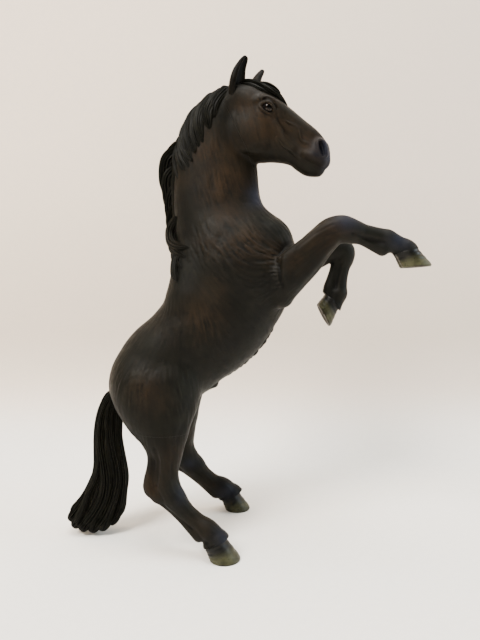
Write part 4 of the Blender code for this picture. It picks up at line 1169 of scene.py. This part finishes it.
class Paint:
    """A material and the nodes that are put into it."""

    def __init__(self, name):
        self.material = bpy.data.materials.new(name)
        self.material.use_nodes = True
        self.tree = self.material.node_tree
        self.shader = self.tree.nodes["Principled BSDF"]

    def put(self, kind, _settings=None, _out=0, **values):
        """A node with its inputs set or linked by name; gives its output."""
        node = self.tree.nodes.new("ShaderNode" + kind)
        for key, value in (_settings or {}).items():
            setattr(node, key, value)
        for key, value in values.items():
            numbered = key[0] == "i" and key[1:].isdigit()
            self.plug(node.inputs[int(key[1:]) if numbered else key.replace("_", " ")], value)
        return node.outputs[_out]

    def plug(self, socket, value):
        if isinstance(value, bpy.types.NodeSocket):
            self.tree.links.new(value, socket)
        else:
            socket.default_value = value

    def given(self, name):
        """A value kept at the mesh's points."""
        return self.put("Attribute", {"attribute_name": name}, 2)

    def place(self):
        return self.put("TexCoord", None, 3)

    def noise(self, scale, detail=4.0, rough=0.55):
        return self.put("TexNoise", None, 0, Vector=self.place(), Scale=scale, Detail=detail, Roughness=rough)

    def map(self, value, low, high, to_low=0.0, to_high=1.0):
        return self.put("MapRange", {"interpolation_type": "SMOOTHSTEP"}, 0, Value=value, From_Min=low,
                        From_Max=high, To_Min=to_low, To_Max=to_high)

    def sum(self, operation, a, b, clamp=False):
        return self.put("Math", {"operation": operation, "use_clamp": clamp}, 0, i0=a, i1=b)

    def blend(self, share, a, b):
        node = self.tree.nodes.new("ShaderNodeMix")
        node.data_type = "RGBA"
        self.plug(node.inputs[0], share)
        self.plug(node.inputs[6], a)
        self.plug(node.inputs[7], b)
        return node.outputs[2]

    def finish(self, colour, roughness, **others):
        self.plug(self.shader.inputs["Base Color"], colour)
        self.plug(self.shader.inputs["Roughness"], roughness)
        for key, value in others.items():
            self.plug(self.shader.inputs[key.replace("_", " ")], value)
        return self.material


def bump(paint, height, strength, distance, under=None):
    values = dict(Height=height, Strength=strength, Distance=distance)
    if under is not None:
        values["Normal"] = under
    return paint.put("Bump", None, 0, **values)


OLIVE_BLACK = (0.0020, 0.0021, 0.0013, 1)
# near black, for the painted shade in grooves and for the fine dark specks
DEEP_BLACK = (0.0009, 0.0009, 0.0008, 1)
BROWN = (0.0215, 0.0122, 0.0054, 1)
# grey-green of the painted sheen
SHEEN_GREY_GREEN = (0.0100, 0.0120, 0.0090, 1)
# blue-grey of the painted sheen
SHEEN_BLUE_GREY = (0.016, 0.019, 0.034, 1)
DRY_GREEN = (0.0052, 0.0049, 0.0028, 1)
# grey of the painted highlight on ridges
RIDGE_HIGHLIGHT_GREY = (0.016, 0.014, 0.011, 1)


def coat_paint():
    """Dark olive undercoat with brown rubbed over it, grey-green and blue-grey painted sheen where light catches it,
    painted shade in the grooves and a painted highlight on the ridges.
    """
    p = Paint("coat paint")
    warm, painted_sheen, blue_sheen = p.given("warm"), p.given("painted_sheen"), p.given("blue_sheen")
    deep, strand = p.given("deep"), p.given("fur")
    cloud = p.noise(140, 3, 0.6)
    patch = p.noise(420, 4, 0.65)
    grain = p.noise(2600, 3, 0.7)
    colour = p.blend(p.map(cloud, 0.35, 0.7), OLIVE_BLACK, DRY_GREEN)
    colour = p.blend(p.map(cloud, 0.2, 0.75, 0.25, 0.6), OLIVE_BLACK, colour)
    rubbed_paint_and_sheen = p.sum("ADD", p.sum("MULTIPLY", strand, 0.24), p.sum("MULTIPLY", p.sum("SUBTRACT", patch, 0.5), 0.7))
    warm_share = p.sum("MULTIPLY", warm, p.map(p.sum("ADD", rubbed_paint_and_sheen, 0.72), 0.1, 1.1), True)
    colour = p.blend(warm_share, colour, BROWN)
    # painted sheen: grey-green where light catches the chest, stifle, knees and hocks
    sheen_share = p.sum("MULTIPLY", painted_sheen, p.map(p.sum("ADD", rubbed_paint_and_sheen, 0.5), 0.1, 1.0), True)
    colour = p.blend(sheen_share, colour, SHEEN_GREY_GREEN)
    # painted sheen: blue-grey where the cool light from the right catches the throat, muzzle and legs
    colour = p.blend(blue_sheen, colour, SHEEN_BLUE_GREY)
    # painted shade: darker in the grooves, where shade falls
    colour = p.blend(p.sum("MULTIPLY", p.map(deep, 0.0, 1.0), 0.85), colour, DEEP_BLACK)
    # painted highlight: paler on the ridges
    colour = p.blend(p.sum("MULTIPLY", p.map(deep, 0.0, -1.0), 0.35), colour, RIDGE_HIGHLIGHT_GREY)
    colour = p.blend(p.sum("MULTIPLY", p.map(grain, 0.45, 0.75), 0.25), colour, DEEP_BLACK)
    rough = p.map(p.sum("ADD", patch, p.sum("MULTIPLY", grain, 0.4)), 0.4, 0.95, 0.46, 0.64)
    normal = bump(p, grain, 0.18, 0.00006, bump(p, patch, 0.25, 0.00012))
    return p.finish(colour, rough, Normal=normal, Specular_IOR_Level=0.085)


def ear_paint():
    p = Paint("ear paint")
    patch = p.noise(500, 4, 0.6)
    colour = p.blend(p.map(patch, 0.3, 0.7), (0.002, 0.0016, 0.001, 1), (0.0055, 0.0045, 0.0032, 1))
    # painted shade: the ear's hollow is darkened
    colour = p.blend(p.given("inside"), colour, (0.0015, 0.0015, 0.0015, 1))
    return p.finish(colour, p.map(patch, 0.3, 0.7, 0.45, 0.6), Normal=bump(p, patch, 0.3, 0.0001),
                    Specular_IOR_Level=0.05)


def hair_paint():
    """Green-black hair with painted shade in the grooves between strands, so the ridges of each lock read paler."""
    p = Paint("hair paint")
    groove = p.given("groove")
    fine = p.noise(900, 4, 0.6)
    grain = p.noise(3000, 2, 0.6)
    colour = p.blend(p.map(fine, 0.3, 0.75), (0.0034, 0.0035, 0.0023, 1), (0.0094, 0.0090, 0.0058, 1))
    # painted shade: darker in the grooves between strands
    colour = p.blend(p.map(groove, 0.25, 0.95), colour, (0.0008, 0.0008, 0.0006, 1))
    rough = p.map(fine, 0.3, 0.7, 0.42, 0.58)
    return p.finish(colour, rough, Normal=bump(p, grain, 0.15, 0.00005, bump(p, fine, 0.35, 0.00012)),
                    Specular_IOR_Level=0.05)


def horn_paint():
    """Olive horn, dark at the coronet, speckled, and darker brown towards the bottom edge and on the sole."""
    p = Paint("horn paint")
    height = p.given("height")
    cloud, speck = p.noise(300, 4, 0.6), p.noise(1500, 3, 0.7)
    colour = p.blend(p.map(cloud, 0.35, 0.65), (0.019, 0.019, 0.0075, 1), (0.046, 0.046, 0.022, 1))
    upper = p.sum("ADD", height, p.sum("MULTIPLY", p.sum("SUBTRACT", cloud, 0.5), 0.7))
    colour = p.blend(p.map(upper, 0.30, 0.75), colour, (0.0022, 0.0022, 0.0017, 1))
    # darker brown towards the bottom edge and on the sole
    colour = p.blend(p.map(upper, 0.12, -0.05), colour, (0.010, 0.008, 0.004, 1))
    colour = p.blend(p.map(speck, 0.58, 0.70), colour, (0.004, 0.0036, 0.002, 1))
    rough = p.map(cloud, 0.3, 0.7, 0.36, 0.52)
    return p.finish(colour, rough, Normal=bump(p, speck, 0.2, 0.0001),
                    Specular_IOR_Level=0.16)


def eye_paint():
    """Wet black-brown eye: pupil, dark iris, and black white at the edge."""
    p = Paint("eye paint")
    angle = p.given("from_axis")
    iris = p.blend(p.map(angle, 0.18, 0.42), (0.001, 0.001, 0.001, 1), (0.007, 0.004, 0.0025, 1))
    colour = p.blend(p.map(angle, 0.50, 0.62), iris, (0.003, 0.0025, 0.0025, 1))
    rough = p.map(p.noise(900), 0.3, 0.7, 0.10, 0.16)
    return p.finish(colour, rough, Specular_IOR_Level=0.13)


def peg_paint():
    p = Paint("peg plastic")
    cloud = p.noise(700, 3)
    colour = p.blend(cloud, (0.55, 0.53, 0.48, 1), (0.66, 0.64, 0.58, 1))
    return p.finish(colour, p.map(cloud, 0.3, 0.7, 0.42, 0.55))


# Where the brown is rubbed on, and where the grey-green and blue-grey painted sheen lies, in the side view: x, z,
# reach, share
WARM = [(6, 123, 6.5, 0.95), (12, 121, 5.5, 0.9), (3, 128, 5, 0.7), (-5, 107, 7.5, 0.9),
        (-9, 116, 6, 0.75), (-4, 114, 6, 0.6), (-3, 97, 6.5, 0.6), (2, 89, 6.0, 0.75), (-6, 88, 5.5, 0.5),
        (9, 86, 4, 0.6), (-11, 68, 6.5, 0.65), (-8, 74, 5, 0.45), (-27, 47, 5.5, 0.5), (-22, 44, 5, 0.3),
        (15, 83, 3.5, 0.5), (20, 90, 5.5, 0.6), (25, 91, 5, 0.6), (-25, 20, 4, 0.7), (-12, 10, 5, 0.3),
        (-19, 28, 5, 0.3), (20, 117, 5, 0.7), (17, 121, 4, 0.5), (24, 113, 4, 0.4), (-16, 108, 5, 0.35),
        (-21, 62, 5, 0.2)]
# painted sheen: grey-green patches where light catches the coat
SHEEN_PATCHES = [(14, 93.5, 4.5, 0.8), (9, 95, 4, 0.5), (4, 100, 4, 0.4), (-15, 46, 4.5, 0.6), (-17, 40, 4, 0.35),
        (-33, 44, 4, 0.35), (-30, 52, 5, 0.25), (-26, 60, 6, 0.25), (16, 125, 4, 0.5), (12, 118, 3.5, 0.4),
        (36, 90, 5, 0.35), (-17, 20, 3, 0.5), (-14, 13, 4, 0.3), (-12, 78, 8, 0.2), (7, 95, 5, 0.4),
        (-18, 72, 6, 0.25)]
# painted sheen: blue-grey patches on the throat, nostril rim, muzzle and legs
BLUE_SHEEN_PATCHES = [(6.2, 103.2, 3.2, 0.9), (23.4, 114.8, 2.4, 0.8), (29.5, 94.5, 3.5, 0.45), (44.5, 89, 3.0, 0.4),
        (-4, 7, 3.0, 0.35), (25.5, 113.5, 2.8, 0.75), (26.5, 110, 2.5, 0.6), (-16.5, 18, 2.2, 0.35)]


def rubbed_paint_and_sheen(points, patches, seed):
    """Share of a colour at points, from soft round patches with ragged edges."""
    ragged = speckle(points + seed, 5.0) * 1.6 + speckle(points + seed, 2.2) * 0.8
    x, z = points[:, 0] + ragged * 1.5, points[:, 2] + ragged
    share = np.zeros(len(points))
    for px, pz, reach, most in patches:
        share = np.maximum(share, most * np.exp(-((x - px) ** 2 + (z - pz) ** 2) / reach**2))
    return share


def edge_ends(mesh):
    pairs = np.empty(len(mesh.edges) * 2, np.int32)
    mesh.edges.foreach_get("vertices", pairs)
    return pairs.reshape(-1, 2)


def whole_values(thing):
    """Places, grooves and fur of a skin before it is cut."""
    points, normals = drawn_points(thing.data)
    return points, hollow(points, normals, edge_ends(thing.data)), fur(points, normals)


def carried(before, values, after, edges):
    """Values at the points that a cut has kept; new points on the cut take their neighbours'."""
    def key(points):
        whole = np.round(points * 2000).astype(np.int64) + 400000
        return (whole[:, 0] << 42) | (whole[:, 1] << 21) | whole[:, 2]

    old = key(before)
    order = np.argsort(old)
    new = key(after)
    spot = np.clip(np.searchsorted(old[order], new), 0, len(old) - 1)
    known = old[order][spot] == new
    result = np.where(known, values[order][spot], 0.0)
    for _ in range(4):
        total, count = np.zeros(len(after)), np.zeros(len(after))
        for a, b in ((0, 1), (1, 0)):
            good = known[edges[:, b]]
            np.add.at(total, edges[good, a], result[edges[good, b]])
            np.add.at(count, edges[good, a], 1)
        fill = ~known & (count > 0)
        result[fill] = total[fill] / count[fill]
        known = known | fill
    return result


def colour_coat(thing, before, dark=1.0):
    """The coat's values at a skin's points: colours, fur, and how bent the skin is, which the paint turns into painted
    shade in grooves and a painted highlight on ridges; dark scales that painted shade and highlight.
    """
    mesh = thing.data
    points, _ = drawn_points(mesh)
    edges = edge_ends(mesh)
    old, bent, strokes = before
    # deep: how far into a groove (painted shade) or onto a ridge (painted highlight) each point lies
    give(mesh, "deep", np.clip(carried(old, bent, points, edges) / 0.8, -1, 1) * dark)
    give(mesh, "fur", carried(old, strokes, points, edges) * np.clip(shag(points) / 0.07, 0.3, 1.2))
    # brown rubbed paint, then the grey-green and blue-grey painted sheen
    for name, patches, seed in (("warm", WARM, 11), ("painted_sheen", SHEEN_PATCHES, 23), ("blue_sheen", BLUE_SHEEN_PATCHES, 37)):
        give(mesh, name, rubbed_paint_and_sheen(points, patches, seed))


def wear(thing, material, slot, *nodes):
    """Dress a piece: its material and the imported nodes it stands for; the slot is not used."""
    thing.data.materials.clear()
    thing.data.materials.append(material)
    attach(thing, "root")
    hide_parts(*nodes)


# ---------------------------------------------------------------- the figure

def build_figure():
    coat = coat_paint()
    body, whole = sculpt("body_skin", (-41.5, -17.6, 31.0), (20.0, 17.6, 137.5), BODY_STEP)
    blocks = [head_block(-SLIT)]
    blocks += [shoulder_block(side, -SLIT) for side in SIDES.values()]
    blocks += [thigh_block(side, SLIT) for side in SIDES.values()]
    before = whole_values(body)
    cut_with(body, blocks, "DIFFERENCE")
    colour_coat(body, before)
    wear(body, coat, "coat_paint", "body")

    head, _ = sculpt("head_skin", (-9.5, -13.6, 104.5), (29.5, 7.5, 141.0), HEAD_STEP)
    before = whole_values(head)
    cut_with(head, [head_block(SLIT)], "INTERSECT")
    # the head takes weaker painted shade and painted highlight
    colour_coat(head, before, 0.6)
    wear(head, coat, "coat_paint", "head")

    limbs = {
        "right_hind": ((-33.5, -22.6, 0.6), (1.0, -0.9, 37.0)),
        "left_hind": ((-32.5, 0.9, 0.6), (4.5, 22.6, 37.0)),
        "right_fore": ((6.0, -17.8, 66.0), (53.0, -0.4, 98.5)),
        "left_fore": ((6.0, 0.4, 63.0), (40.0, 17.8, 98.5)),
    }
    for limb, (low, high) in limbs.items():
        word, end = limb.split("_")
        side = SIDES[word]
        node = f"{word}_hind_leg" if end == "hind" else f"{word}_foreleg"
        leg, _ = sculpt(f"{node}_skin", low, high, LEG_STEP)
        block = thigh_block(side, -SLIT) if end == "hind" else shoulder_block(side, SLIT)
        before = whole_values(leg)
        cut_with(leg, [block], "INTERSECT")
        cut_with(leg, [leg_end_block(f"{limb}_hoof")], "DIFFERENCE")
        colour_coat(leg, before)
        wear(leg, coat, "coat_paint", node)

    horn = horn_paint()
    for name in HOOVES:
        wear(make_hoof(name), horn, "horn_paint", name)
    gloss = eye_paint()
    for word, side in SIDES.items():
        wear(make_eye(f"{word}_eye", side), gloss, "eye_gloss", f"{word}_eye")
    inside = ear_paint()
    for name in EARS:
        wear(make_ear(name), inside, "coat_paint", name)
    hair = hair_paint()
    wear(make_mane(whole), hair, "hair_paint", "mane")
    wear(make_forelock(), hair, "hair_paint", "forelock")
    wear(make_tail(), hair, "hair_paint", "tail")
    pegs = peg_paint()
    for name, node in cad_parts.items():
        if name.endswith("_pin"):
            node.data.materials.clear()
            node.data.materials.append(pegs)


# ---------------------------------------------------------------- surroundings

def clear_from_behind(paper):
    """The back of the paper isn't there, so the figure can be looked at from every side."""
    tree = paper.node_tree
    end = next(n for n in tree.nodes if n.type == "OUTPUT_MATERIAL")
    front = end.inputs["Surface"].links[0].from_socket
    side = tree.nodes.new("ShaderNodeNewGeometry").outputs["Backfacing"]
    both = tree.nodes.new("ShaderNodeMixShader")
    tree.links.new(both.inputs[0], side)
    tree.links.new(both.inputs[1], front)
    tree.links.new(both.inputs[2], tree.nodes.new("ShaderNodeBsdfTransparent").outputs[0])
    tree.links.new(end.inputs["Surface"], both.outputs[0])


def floor_and_backdrop():
    """A pale sweep: flat floor that curves up behind the figure. The wall carries painted light: warmer on the left,
    darker on the right, with a painted shadow low down.
    """
    across = np.linspace(-1600, 1600, 3)
    turn = np.linspace(0, math.pi / 2, 24)
    bend = 55.0
    back = 38.0
    curl = [(back + bend * math.sin(t), bend - bend * math.cos(t)) for t in turn]
    line = np.array([(-900.0, 0.0), *curl, (back + bend, 1400.0)])
    points = np.array([[x, y, z] for x in across for y, z in line])
    rows = len(line)
    i = np.arange(len(across) - 1)[:, None] * rows
    j = np.arange(rows - 1)
    quads = np.stack(np.broadcast_arrays(i + j, i + rows + j, i + rows + j + 1, i + j + 1), -1).reshape(-1, 4)
    sweep = to_mesh("paper_sweep", points, quads)
    p = Paint("paper")
    tooth = p.noise(500, 4, 0.6)
    place = p.tree.nodes.new("ShaderNodeSeparateXYZ")
    p.plug(place.inputs[0], p.place())
    x, z = place.outputs[0], place.outputs[2]
    # painted light: the wall warmer and brighter on the left, darker on the right, as light falls from the left
    wall = p.blend(p.map(x, -0.10, 0.14), (0.88, 0.735, 0.60, 1), (0.74, 0.64, 0.55, 1))
    colour = p.blend(p.map(z, 0.001, 0.035), (0.88, 0.855, 0.80, 1), wall)
    # painted shadow: a darker band low on the wall, behind the figure
    middle = p.sum("MULTIPLY", p.map(z, 0.012, 0.045), p.map(z, 0.150, 0.050))
    colour = p.blend(p.sum("MULTIPLY", middle, 0.42), colour, (0.50, 0.43, 0.35, 1))
    colour = p.blend(p.map(tooth, 0.3, 0.7, 0.0, 0.06), colour, (0.50, 0.46, 0.42, 1))
    paper = p.finish(colour, 0.9, Normal=bump(p, tooth, 0.1, 0.0002))
    clear_from_behind(paper)
    sweep.data.materials.append(paper)


def area_light(name, place, target, size, power, colour):
    light = bpy.data.lights.new(name, "AREA")
    light.shape = "DISK"
    light.size = size
    light.energy = power
    light.color = colour
    thing = put_in_scene(name, light)
    thing.location = place
    thing.rotation_euler = (Vector(target) - Vector(place)).to_track_quat("-Z", "Y").to_euler()


CAMERA_AWAY, CAMERA_TALL = 0.157, 0.072
CAMERA_DIP = 0.0390625    # how far it looks down over each unit ahead


def light_and_camera():
    area_light("window", (-0.50, -0.55, 0.85), (0, 0, 0.07), 0.45, 22.0, (1.0, 0.95, 0.88))
    area_light("room right", (0.85, -0.10, 0.40), (0, 0, 0.07), 0.5, 7.0, (0.80, 0.92, 1.0))
    area_light("room above", (0.05, -0.10, 1.0), (0, 0, 0.05), 0.6, 14.0, (1.0, 0.99, 0.96))
    world = bpy.data.worlds.new("room")
    world.use_nodes = True
    glow = world.node_tree.nodes["Background"].inputs
    glow["Color"].default_value = (1.0, 0.96, 0.90, 1)
    glow["Strength"].default_value = 0.22
    bpy.context.scene.world = world
    camera = bpy.data.cameras.new("camera")
    camera.lens = 28.8
    camera.sensor_width = 36.0
    camera.clip_start, camera.clip_end = 0.01, 20.0
    camera.dof.use_dof = False
    thing = put_in_scene("camera", camera)
    thing.location = (0.0, -CAMERA_AWAY, CAMERA_TALL)
    thing.rotation_euler = (math.pi / 2 - math.atan(CAMERA_DIP), 0.0, 0.0)
    bpy.context.scene.camera = thing


build_figure()
floor_and_backdrop()
light_and_camera()
